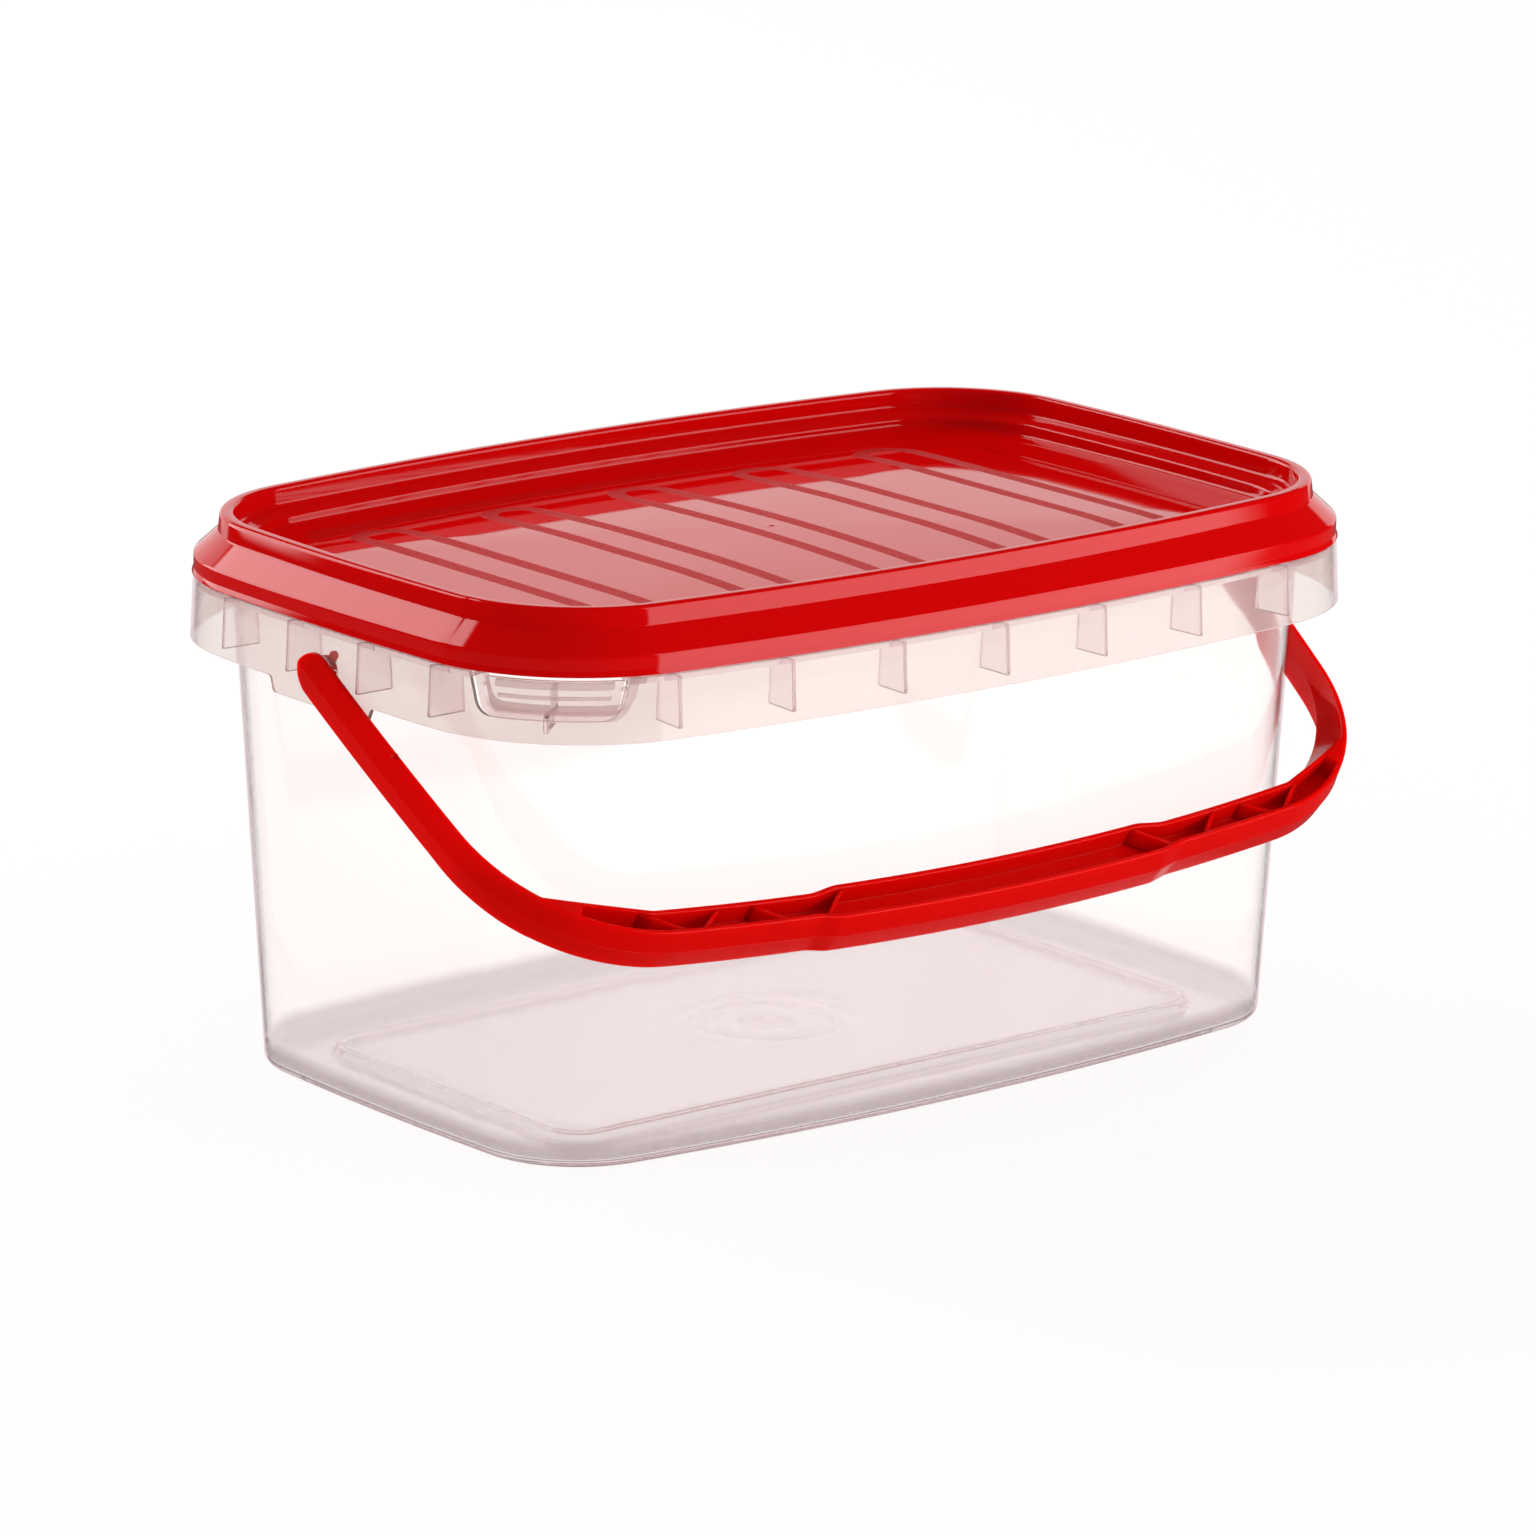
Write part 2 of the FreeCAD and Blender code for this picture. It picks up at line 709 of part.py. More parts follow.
def make_bail():
    bail = bail_half(span_above).fuse(bail_half(-span_below))
    bail = bail.common(bail_side_view())
    bail = bail.cut([bail_pockets(span_above), bail_pockets(-span_below)])
    bail = bail.fuse(pivot_studs()).removeSplitter()
    bail.rotate(Vector(0, 0, 0), Vector(1, 0, 0), bail_rest_angle)
    bail.translate(Vector(0, 0, pivot_z))
    return bail


def write(name, shape):
    solids = len(shape.Solids)
    box = shape.BoundBox
    print(name, "valid" if shape.isValid() else "not valid", solids, "solids", round(shape.Volume), "mm3",
          [round(value, 2) for value in (box.XMin, box.XMax, box.YMin, box.YMax, box.ZMin, box.ZMax)])
    shape.exportStep("parts/" + name + ".step")


def main():
    os.makedirs("parts", exist_ok=True)
    write("tub", make_tub())
    write("lid", make_lid())
    write("bail_handle", make_bail())
    write("tear_tab", make_tear_tab())


main()
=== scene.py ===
import bpy
import bmesh
import numpy as np
from mathutils import Matrix, Vector
from mathutils.geometry import delaunay_2d_cdt


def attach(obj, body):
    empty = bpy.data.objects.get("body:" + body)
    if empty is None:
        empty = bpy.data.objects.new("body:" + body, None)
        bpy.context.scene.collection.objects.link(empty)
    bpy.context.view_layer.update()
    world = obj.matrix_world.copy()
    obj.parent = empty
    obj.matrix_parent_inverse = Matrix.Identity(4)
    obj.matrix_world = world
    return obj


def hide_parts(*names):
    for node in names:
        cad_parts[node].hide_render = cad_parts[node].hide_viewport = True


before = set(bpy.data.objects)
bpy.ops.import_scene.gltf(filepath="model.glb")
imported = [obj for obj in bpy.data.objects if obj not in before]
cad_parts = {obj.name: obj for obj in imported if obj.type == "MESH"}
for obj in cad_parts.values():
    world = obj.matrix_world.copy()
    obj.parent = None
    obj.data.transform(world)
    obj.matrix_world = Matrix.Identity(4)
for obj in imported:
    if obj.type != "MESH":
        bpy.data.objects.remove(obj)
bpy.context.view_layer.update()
print("frame loaded")

mm = 0.001
lidSeat = 97.0  # height of the lid's lower edge; section heights count from here
footInset = 13.0  # how far the tub's foot lies inside the lid's outline

# the outline at the lid's lower edge: a rectangle with bowed sides and tangent corners
rimOutline = {
    "halfLong": 106.5, "halfWide": 70.9, "corner": 34.5, "bowLong": 9.2, "bowShort": 3.46,
    "steps": (26, 34, 44, 34),  # places along a short side, a corner, a long side and a corner
    "fold": -20.0,  # where the lid has its sink mark, from the middle of the notched corner
    "foldReach": 2.4, "foldPlaces": 15,  # the places lie closer on both sides of the mark
}


def tangentArcs(shape):
    # rows of centre x, centre y, radius, first and last angle, anticlockwise from the +X side: a bowed
    # side's radius is (half chord squared + bow squared) / (2 bow), and a corner touches both its sides
    a, b, r = shape["halfLong"], shape["halfWide"], shape["corner"]
    longRadius = (a * a + shape["bowLong"] ** 2) / (2 * shape["bowLong"])
    shortRadius = (b * b + shape["bowShort"] ** 2) / (2 * shape["bowShort"])
    longY, shortX = b - longRadius, a - shortRadius
    gap = np.hypot(shortX, longY)
    along = ((longRadius - r) ** 2 - (shortRadius - r) ** 2 + gap ** 2) / (2 * gap)
    across = np.sqrt((longRadius - r) ** 2 - along ** 2)
    x = (along * shortX - across * longY) / gap
    y = longY - (along * longY + across * shortX) / gap
    low, high = np.arctan2(y, x - shortX), np.arctan2(y - longY, x)
    pi = np.pi
    return np.array([
        (shortX, 0, shortRadius, -low, low), (x, y, r, low, high),
        (0, longY, longRadius, high, pi - high), (-x, y, r, pi - high, pi - low),
        (-shortX, 0, shortRadius, pi - low, pi + low), (-x, -y, r, pi + low, pi + high),
        (0, -longY, longRadius, pi + high, 2 * pi - high), (x, -y, r, 2 * pi - high, 2 * pi - low)])


arcs = tangentArcs(rimOutline)
arcLengths = arcs[:, 2] * (arcs[:, 4] - arcs[:, 3])
arcStarts = np.concatenate([[0], np.cumsum(arcLengths)])
roundLength = arcStarts[-1]
arcMiddles = arcStarts[:-1] + arcLengths / 2
leftMiddle, notchMiddle = arcMiddles[4], arcMiddles[5]


def placesAt(s):
    # distance round the outline to rows of centre x, centre y, radius, angle, where the angle is the
    # arc's first one + distance along the arc / radius
    s = np.mod(s, roundLength)
    which = np.clip(np.searchsorted(arcStarts, s, side="right") - 1, 0, 7)
    chosen = arcs[which]
    angle = chosen[:, 3] + (s - arcStarts[which]) / chosen[:, 2]
    return np.column_stack([chosen[:, :3], angle])


def spot(places, inset, height):
    # centre + (radius - inset) * (cos, sin), at a height over the lid's seat
    reach = places[:, 2] - inset
    return np.column_stack([
        places[:, 0] + reach * np.cos(places[:, 3]),
        places[:, 1] + reach * np.sin(places[:, 3]),
        np.zeros(len(places)) + lidSeat + height])


def roundPlaces():
    # distances round the outline: even steps along every arc, and closer ones at the sink mark
    even = [np.linspace(arcStarts[i], arcStarts[i + 1], n, endpoint=False)
            for i, n in enumerate(rimOutline["steps"] * 2)]
    closer = np.linspace(-rimOutline["foldReach"], rimOutline["foldReach"], rimOutline["foldPlaces"])
    return np.unique(np.concatenate([*even, notchMiddle + rimOutline["fold"] + closer]))


allRound = placesAt(roundPlaces())
# each place's direction from the middle, and its share: 1 on the long sides, 0 on the short ones
bearings = np.arctan2(*spot(allRound, footInset, 0)[:, 1::-1].T)
longShare = np.interp(roundPlaces(), arcStarts, (0, 0, 1, 1, 0, 0, 1, 1, 0))


def roundedSection(corners, steps=5, closed=False):
    # every corner (u, v, radius) gives way to an arc tangent to both its edges, which starts
    # radius / tan(half the corner's angle) before the corner, and no more than 0.48 of an edge
    points = np.array([c[:2] for c in corners], float)
    count = len(points)
    path = []
    for i, corner in enumerate(corners):
        atEnd = not closed and i in (0, count - 1)
        if corner[2] == 0 or atEnd:
            path.append(points[i][None])
            continue
        back, on = points[i - 1] - points[i], points[(i + 1) % count] - points[i]
        backLength, onLength = np.linalg.norm(back), np.linalg.norm(on)
        back, on = back / backLength, on / onLength
        half = np.arccos(np.clip(back @ on, -1, 1)) / 2
        cut = min(corner[2] / np.tan(half), 0.48 * backLength, 0.48 * onLength)
        radius = cut * np.tan(half)
        middle = points[i] + (back + on) / np.linalg.norm(back + on) * np.hypot(cut, radius)
        first, last = points[i] + back * cut - middle, points[i] + on * cut - middle
        turn = np.pi - 2 * half
        t = np.linspace(0, 1, steps)[:, None]
        path.append(middle + (np.sin((1 - t) * turn) * first + np.sin(t * turn) * last) / np.sin(turn))
    return np.concatenate(path)


def gridFaces(rows, columns):
    # quads between rings: a point's number is its row * columns + its column
    i, j = np.arange(rows - 1)[:, None] * columns, np.arange(columns)[None]
    onward = (j + 1) % columns
    quads = np.stack([i + j, i + onward, i + columns + onward, i + columns + j], -1)
    return quads.reshape(-1, 4).tolist()


def addPiece(name, parts, body, material, sharp=38, replaced=None):
    # parts are (points in mm, faces); each closed shell ends with its faces pointing outwards
    points, faces, start = [], [], 0
    for partPoints, partFaces in parts:
        points.append(partPoints)
        faces += [[v + start for v in face] for face in partFaces]
        start += len(partPoints)
    mesh = bpy.data.meshes.new(name)
    mesh.from_pydata((np.concatenate(points) * mm).tolist(), [], faces)
    shape = bmesh.new()
    shape.from_mesh(mesh)
    bmesh.ops.remove_doubles(shape, verts=shape.verts, dist=1.5e-6)
    bmesh.ops.recalc_face_normals(shape, faces=shape.faces)
    shape.to_mesh(mesh)
    shape.free()
    mesh.polygons.foreach_set("use_smooth", np.ones(len(mesh.polygons), bool))
    mesh.set_sharp_from_angle(angle=np.radians(sharp))
    mesh.materials.append(material)
    piece = bpy.data.objects.new(name, mesh)
    bpy.context.scene.collection.objects.link(piece)
    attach(piece, body)
    if replaced:
        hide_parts(replaced)
    print(name, len(mesh.vertices), "vertices")
    return piece


def skinOfRings(rings, firstPole, lastPole):
    # rings of equal count between two poles, closed all round
    rings = np.array(rings)
    rows, columns = rings.shape[:2]
    points = np.concatenate([rings.reshape(-1, 3), [firstPole, lastPole]])
    faces = gridFaces(rows, columns)
    j = np.arange(columns)
    onward = (j + 1) % columns
    base = (rows - 1) * columns
    faces += np.column_stack([onward, j, np.full(columns, rows * columns)]).tolist()
    faces += np.column_stack([base + j, base + onward, np.full(columns, rows * columns + 1)]).tolist()
    return points, faces


def tubeOfRings(rings):
    # closed sections along an open path, joined one to the next and capped at both ends
    rings = np.array(rings)
    rows, columns = rings.shape[:2]
    faces = gridFaces(rows, columns)
    faces += [list(range(columns)), list(range((rows - 1) * columns, rows * columns))]
    return rings.reshape(-1, 3), faces


def insideLoops(points, loops):
    # even-odd rule against every edge of the loops
    inside = np.zeros(len(points), bool)
    for loop in loops:
        a, b = loop, np.roll(loop, -1, axis=0)
        above = (a[None, :, 1] > points[:, None, 1]) != (b[None, :, 1] > points[:, None, 1])
        slope = (b[:, 0] - a[:, 0]) / np.where(b[:, 1] == a[:, 1], 1e-12, b[:, 1] - a[:, 1])
        crossing = a[None, :, 0] + slope[None] * (points[:, None, 1] - a[None, :, 1])
        inside ^= (np.count_nonzero(above & (points[:, None, 0] < crossing), axis=1) % 2).astype(bool)
    return inside


def meshOfLoops(loops, spacing):
    # a flat area with holes as triangles about as wide as the spacing: Delaunay's rule joins its rim
    # and the points of a grid that lie inside it, clear of the rim by 0.35 of the spacing
    edges, start = [], 0
    for loop in loops:
        n = len(loop)
        edges += [(start + k, start + (k + 1) % n) for k in range(n)]
        start += n
    rim = np.concatenate(loops)
    low, high = rim.min(0), rim.max(0)
    grid = np.meshgrid(np.arange(low[0], high[0], spacing[0]), np.arange(low[1], high[1], spacing[1]))
    grid = np.stack(grid, -1).reshape(-1, 2)
    grid = grid[insideLoops(grid, loops)]
    clear = np.abs(rim[None] - grid[:, None]).max(2).min(1) > 0.35 * min(spacing)
    every = np.concatenate([rim, grid[clear]])
    flat, _, triangles, *_ = delaunay_2d_cdt(every.tolist(), edges, [], 0, 1e-5, False)
    flat, triangles = np.array(flat), np.array([t for t in triangles if len(t) == 3])
    # slivers between points on one straight edge are left out
    (ax, ay), (bx, by) = [(flat[triangles[:, i]] - flat[triangles[:, 0]]).T for i in (1, 2)]
    triangles = triangles[np.abs(ax * by - ay * bx) > 1e-4]
    return flat, triangles[insideLoops(flat[triangles].mean(1), loops)]


def plateOf(loops, spacing, front, back, seam=None):
    # the flat area mapped onto a front and a back surface, with walls along its edges
    flat, triangles = meshOfLoops(loops, spacing)
    count = len(flat)
    sides = np.concatenate([triangles[:, [0, 1]], triangles[:, [1, 2]], triangles[:, [2, 0]]])
    key = np.sort(sides, 1)
    _, first, times = np.unique(key, axis=0, return_index=True, return_counts=True)
    border = sides[first[times == 1]]
    if seam is not None:
        joined = np.any([np.all(np.abs(flat[border][:, :, 0] - s) < 1e-3, 1) for s in seam], axis=0)
        border = border[~joined]
    walls = np.column_stack([border[:, 1], border[:, 0], border[:, 0] + count, border[:, 1] + count])
    faces = triangles.tolist() + (triangles[:, ::-1] + count).tolist() + walls.tolist()
    return np.concatenate([front(flat), back(flat)]), faces


def linear(code):
    # sRGB hex to linear: share / 12.92 where it is dark, else ((share + 0.055) / 1.055) to the 2.4
    parts = np.array([int(code[i:i + 2], 16) for i in (1, 3, 5)]) / 255
    return (*np.where(parts <= 0.04045, parts / 12.92, ((parts + 0.055) / 1.055) ** 2.4), 1.0)


def node(tree, kind, settings=None, **links):
    # one node; settings name its properties, links name its sockets and take values or outputs
    made = tree.nodes.new(kind)
    for name, value in (settings or {}).items():
        setattr(made, name, value)
    for name, value in links.items():
        numbered = name[0] == "i" and name[1:].isdigit()
        socket = made.inputs[int(name[1:]) if numbered else name.replace("_", " ")]
        if isinstance(value, bpy.types.NodeSocket):
            tree.links.new(value, socket)
        else:
            socket.default_value = value
    return made


def newMaterial(name):
    # a material with an empty node tree
    material = bpy.data.materials.new(name)
    material.use_nodes = True
    material.node_tree.nodes.clear()
    return material, material.node_tree


# injection moulded polypropylene, dyed red in the mass: no flow marks, a hard gloss off a polished
# mould, and a long slow waviness where thick places shrank
lidFinish = {
    "red": "#CB0203", "roughness": 0.05, "wave": 0.02,
    # dull hairpin stripes on the panel, in mm: pitch, number on each side of the middle one, half the
    # distance of a hairpin's legs, where they end, width and soft edge of the line
    "stripeRed": "#C0090B", "stripeRoughness": 0.5, "stripeGrain": 0.5,
    "pitch": 31.1, "turns": 2, "halfLegs": 5.5, "legEnd": 40.3, "lineWidth": 3.4, "lineEdge": 0.1,
    # the stripes fade in and out between these heights, which only the panel lies in
    "stripeHeights": ((98.6, 98.8, 0, 1), (102.1, 102.3, 1, 0)),
}


def glossyRed():
    # distance to a hairpin's line: |sqrt((x - its middle)^2 + max(|y| - leg end, 0)^2) - half legs|
    material, tree = newMaterial("polypropylene moulded red gloss")
    place = node(tree, "ShaderNodeTexCoord").outputs["Object"]
    axes = node(tree, "ShaderNodeSeparateXYZ", Vector=place).outputs
    f = lidFinish
    found = {"x": axes["X"], "y": axes["Y"]}
    for name, kind, a, b in (
            ("turn", "DIVIDE", "x", f["pitch"] * mm), ("turn", "ROUND", "turn", 0),
            ("turn", "MINIMUM", "turn", f["turns"]), ("turn", "MAXIMUM", "turn", -f["turns"]),
            ("turn", "MULTIPLY", "turn", f["pitch"] * mm),
            ("x", "SUBTRACT", "x", "turn"), ("x", "MULTIPLY", "x", "x"), ("y", "ABSOLUTE", "y", 0),
            ("y", "SUBTRACT", "y", f["legEnd"] * mm), ("y", "MAXIMUM", "y", 0), ("y", "MULTIPLY", "y", "y"),
            ("off", "ADD", "x", "y"), ("off", "SQRT", "off", 0),
            ("off", "SUBTRACT", "off", f["halfLegs"] * mm), ("off", "ABSOLUTE", "off", 0)):
        found[name] = node(tree, "ShaderNodeMath", {"operation": kind}, i0=found.get(a, a),
                           i1=found.get(b, b)).outputs[0]
    half, edge = f["lineWidth"] / 2 * mm, f["lineEdge"] * mm
    line = node(tree, "ShaderNodeMapRange", {"interpolation_type": "SMOOTHSTEP"}, Value=found["off"],
                From_Min=half - edge, From_Max=half + edge, To_Min=1.0, To_Max=0.0).outputs[0]
    for low, high, first, last in f["stripeHeights"]:
        within = node(tree, "ShaderNodeMapRange", Value=axes["Z"], From_Min=low * mm, From_Max=high * mm,
                      To_Min=first, To_Max=last).outputs[0]
        line = node(tree, "ShaderNodeMath", {"operation": "MULTIPLY"}, i0=line, i1=within).outputs[0]

    rough = node(tree, "ShaderNodeMapRange", Value=line, To_Min=f["roughness"], To_Max=f["stripeRoughness"])
    colour = node(tree, "ShaderNodeMix", {"data_type": "RGBA"}, Factor=line, i6=linear(f["red"]),
                  i7=linear(f["stripeRed"])).outputs[2]
    # a 35 mm waviness all over, and a 0.4 mm spark-eroded grain on the stripes
    swell = node(tree, "ShaderNodeTexNoise", Vector=place, Scale=28.0, Detail=1.0)
    soft = node(tree, "ShaderNodeBump", Strength=f["wave"], Distance=0.004, Height=swell.outputs["Fac"])
    grain = node(tree, "ShaderNodeTexNoise", Vector=place, Scale=2600.0, Detail=1.0)
    depth = node(tree, "ShaderNodeMath", {"operation": "MULTIPLY"}, i0=line, i1=f["stripeGrain"]).outputs[0]
    fine = node(tree, "ShaderNodeBump", Strength=depth, Distance=0.0002, Height=grain.outputs["Fac"],
                Normal=soft.outputs["Normal"])
    shader = node(tree, "ShaderNodeBsdfPrincipled", Base_Color=colour, Roughness=rough.outputs[0], IOR=1.49,
                  Normal=fine.outputs["Normal"])
    node(tree, "ShaderNodeOutputMaterial", Surface=shader.outputs["BSDF"])
    return material


# the same resin from a spark-eroded mould: a fine satin grain that spreads highlights
bailFinish = {
    "red": "#CC0502", "roughness": 0.20, "patchy": (-0.04, 0.05), "grain": 0.35, "gloss": 0.16,
    # light spreads within the resin: share, reach in m, share of the reach for red, green and blue
    "spread": 1.0, "reach": 0.004, "reachRgb": (1.0, 0.12, 0.08),
}


def satinRed():
    # roughness = even value + a share of a soft noise; bump = height of a fine noise
    material, tree = newMaterial("polypropylene moulded red satin")
    f = bailFinish
    place = node(tree, "ShaderNodeTexCoord").outputs["Object"]
    grain = node(tree, "ShaderNodeTexNoise", Vector=place, Scale=3200.0, Detail=2.0)  # 0.3 mm grain
    patch = node(tree, "ShaderNodeTexNoise", Vector=place, Scale=60.0, Detail=2.0)  # 17 mm patches
    low, high = f["patchy"]
    rough = node(tree, "ShaderNodeMapRange", Value=patch.outputs["Fac"], From_Min=0.3, From_Max=0.7,
                 To_Min=f["roughness"] + low, To_Max=f["roughness"] + high)
    bump = node(tree, "ShaderNodeBump", Strength=f["grain"], Distance=0.00012, Height=grain.outputs["Fac"])
    shader = node(tree, "ShaderNodeBsdfPrincipled", Base_Color=linear(f["red"]), Roughness=rough.outputs[0],
                  IOR=1.49, Specular_IOR_Level=f["gloss"], Normal=bump.outputs["Normal"],
                  Subsurface_Weight=f["spread"], Subsurface_Radius=f["reachRgb"], Subsurface_Scale=f["reach"])
    node(tree, "ShaderNodeOutputMaterial", Surface=shader.outputs["BSDF"])
    return material


# undyed clarified polypropylene: clear in thin walls, with a faint milky haze, and painted mauve shade at its
# edges
tubFinish = {
    "tint": "#FFFCFB", "haze": 0.035, "skirtTint": "#EAE0DC", "skirtHaze": 0.09,
    "roughness": 0.05, "wave": 0.05,
    # the floor is painted greyer, as the shade that the paper beneath it gets, and is a little duller than the
    # walls, which take over between these heights in mm
    "floor": "#D6CFD0", "floorRoughness": 0.14, "shadedFloorHeights": (3.4, 6.0),
    "thin": "#FCF8F7",  # of the light that shines straight through the walls
    # painted edge shade, a mauve tint: after so many turns within the wall, or where it is seen at a low angle
    "edge": "#F4EAEC", "paintedEdgeTurns": 6.5, "paintedEdgeFacing": (0.68, 0.88),
}


def clearNatural(name, haze, tint, withShadedFloor=False):
    # clear plastic mixed with a share of plain see-through colour, by the kind of ray and by its angle
    material, tree = newMaterial(name)
    f = tubFinish
    place = node(tree, "ShaderNodeTexCoord").outputs["Object"]
    swell = node(tree, "ShaderNodeTexNoise", Vector=place, Scale=40.0, Detail=2.0)  # 25 mm sink waviness
    bump = node(tree, "ShaderNodeBump", Strength=f["wave"], Distance=0.003, Height=swell.outputs["Fac"])
    colour, rough = linear(tint), f["roughness"]
    if withShadedFloor:
        height = node(tree, "ShaderNodeSeparateXYZ", Vector=place).outputs["Z"]
        first, last = f["shadedFloorHeights"]
        low = node(tree, "ShaderNodeMapRange", Value=height, From_Min=first * mm, From_Max=last * mm,
                   To_Min=1.0, To_Max=0.0).outputs[0]
        rough = node(tree, "ShaderNodeMapRange", Value=low, To_Min=rough,
                     To_Max=f["floorRoughness"]).outputs[0]
        # painted shade: the colour turns grey toward the bottom, where the floor lies
        colour = node(tree, "ShaderNodeMix", {"data_type": "RGBA"}, Factor=low, i6=colour,
                      i7=linear(f["floor"])).outputs[2]
    shader = node(tree, "ShaderNodeBsdfPrincipled", Base_Color=colour, Roughness=rough, IOR=1.49,
                  Transmission_Weight=1.0 - haze, Normal=bump.outputs["Normal"])
    # lamps and the light all round shine through the thin walls
    through = node(tree, "ShaderNodeBsdfTransparent", Color=linear(f["thin"]))
    rays = node(tree, "ShaderNodeLightPath").outputs
    lit = node(tree, "ShaderNodeMath", {"operation": "MAXIMUM"}, i0=rays["Is Shadow Ray"],
               i1=rays["Is Diffuse Ray"]).outputs[0]
    mixed = node(tree, "ShaderNodeMixShader", i0=lit, i1=shader.outputs["BSDF"], i2=through.outputs["BSDF"])
    # painted edge shade: a mauve see-through tint where a ray has gone back and forth within the wall, and
    # where the wall is seen at a low angle
    edge = node(tree, "ShaderNodeBsdfTransparent", Color=linear(f["edge"]))
    deep = node(tree, "ShaderNodeMath", {"operation": "GREATER_THAN"}, i0=rays["Ray Depth"], i1=f["paintedEdgeTurns"])
    # painted shade: the low-angle share tints the edges mauve
    facing = node(tree, "ShaderNodeLayerWeight", Blend=0.5).outputs["Facing"]
    first, last = f["paintedEdgeFacing"]
    grazingShade = node(tree, "ShaderNodeMapRange", {"interpolation_type": "SMOOTHSTEP"}, Value=facing,
                   From_Min=first, From_Max=last, To_Min=0.0, To_Max=1.0).outputs[0]
    share = node(tree, "ShaderNodeMath", {"operation": "MAXIMUM"}, i0=deep.outputs[0], i1=grazingShade).outputs[0]
    mixed = node(tree, "ShaderNodeMixShader", i0=share, i1=mixed.outputs[0], i2=edge.outputs["BSDF"])
    node(tree, "ShaderNodeOutputMaterial", Surface=mixed.outputs[0])
    return material


lidMaterial = glossyRed()
bailMaterial = satinRed()
tubMaterial = clearNatural("polypropylene moulded natural clear", tubFinish["haze"], tubFinish["tint"], True)
skirtMaterial = clearNatural("polypropylene moulded natural hazy", tubFinish["skirtHaze"],
                             tubFinish["skirtTint"])
print("materials made")

lid = {
    # inset from the outline, height over the seat, radius: from the panel up three steps to the bead,
    # on the long sides and on the short ones
    "longSteps": (
        (19.3, 3.15, 1.6), (11.3, 4.75, 1.0), (11.25, 6.5, 0.8), (7.8, 8.0, 1.0), (7.75, 11.7, 0.8)),
    "shortSteps": (
        (21.9, 3.2, 1.6), (11.4, 4.0, 1.0), (11.25, 6.4, 0.8), (7.9, 7.75, 1.0), (7.75, 11.7, 0.8)),
    # chamfer and band, then back underneath past the snap ridge and the channel for the rim
    "outside": (
        (5.1, 11.7, 0.9), (4.65, 8.0, 0.6), (0.0, 3.7, 0.8), (0.0, 1.1, 0.5),
        (-0.4, 0.0, 0.12), (0.8, 0.0, 0.1), (1.0, 0.3, 0), (1.4, 0.5, 0.1), (1.4, 1.1, 0.1),
        (1.0, 1.3, 0), (1.0, 3.35, 0.4), (5.85, 7.6, 0.4), (5.85, 10.6, 0.3), (7.25, 10.6, 0.3),
        (7.25, 7.4, 0.3)),
    "longUnder": ((10.3, 5.8, 0.5), (10.4, 3.9, 0.5), (19.0, 2.2, 1.0)),
    "shortUnder": ((10.3, 5.8, 0.5), (10.5, 3.1, 0.5), (21.6, 2.25, 1.0)),
    "edge": 24.0, "edgeHeight": 3.48, "crown": 4.8, "wall": 1.0, "panelRings": 30,
    "gateRadius": 0.5, "gateRise": 0.12,
    # sink mark: widths on both sides, depth, height where it starts, inset that it stays outside of
    "foldWide": (0.9, 2.6), "foldDeep": 0.13, "foldFrom": 3.2, "foldInset": 5.9,
}


def panelRings(top, edgeHeight):
    # the panel's ring shrinks to the middle; height = crown - rise * share squared
    edge = spot(allRound, lid["edge"], 0)
    share = np.linspace(1, 0, lid["panelRings"] + 1)[1:-1]
    rise = top - edgeHeight
    rings = []
    for k in share:
        ring = edge * [k, k, 1]
        ring[:, 2] = lidSeat + edgeHeight + rise * (1 - k * k)
        rings.append(ring)
    return rings


def discRing(radius, z):
    # a circle about the middle, with a point in every place's direction
    return np.column_stack([radius * np.cos(bearings), radius * np.sin(bearings), np.full(len(bearings), z)])


def gateDot(radius, rise, height):
    # a low round nub at the middle: radius and height of each of its circles
    steps = ((radius * 1.25, 0), (radius, rise * 0.15), (radius * 0.85, rise * 0.85), (radius * 0.6, rise))
    return [discRing(r, height + h) for r, h in steps]


def makeLid():
    # the section changes from the long sides to the short ones along the corners: share = 3k^2 - 2k^3
    edge, under = (lid["edge"], lid["edgeHeight"], 0), (lid["edge"], lid["edgeHeight"] - lid["wall"], 0)
    long, short = [roundedSection((edge, *steps, *lid["outside"], *beneath, under)) for steps, beneath in (
        (lid["longSteps"], lid["longUnder"]), (lid["shortSteps"], lid["shortUnder"]))]
    share = longShare ** 2 * (3 - 2 * longShare)
    # a sink mark folds the chamfer at the near corner: inset + deep * e^-(distance / wide)^2
    off = roundPlaces() - notchMiddle - rimOutline["fold"]
    fold = lid["foldDeep"] * np.exp(-(off / np.where(off < 0, *lid["foldWide"])) ** 2)
    rings = []
    for a, b in zip(long, short):
        inset, height = a[0] * share + b[0] * (1 - share), a[1] * share + b[1] * (1 - share)
        high = np.clip(height - lid["foldFrom"], 0, 1) * (a[0] < lid["foldInset"])
        rings.append(spot(allRound, inset + fold * high, height))
    top = panelRings(lid["crown"], edge[1])
    beneath = panelRings(lid["crown"] - lid["wall"], under[1])
    nub = gateDot(lid["gateRadius"], lid["gateRise"], lidSeat + lid["crown"])
    peak = lidSeat + lid["crown"]
    every = nub[::-1] + top[::-1] + rings + beneath
    return skinOfRings(every, (0, 0, peak + lid["gateRise"]), (0, 0, peak - lid["wall"]))


addPiece("lidShell", [makeLid()], "lid_body", lidMaterial, sharp=50, replaced="lid")

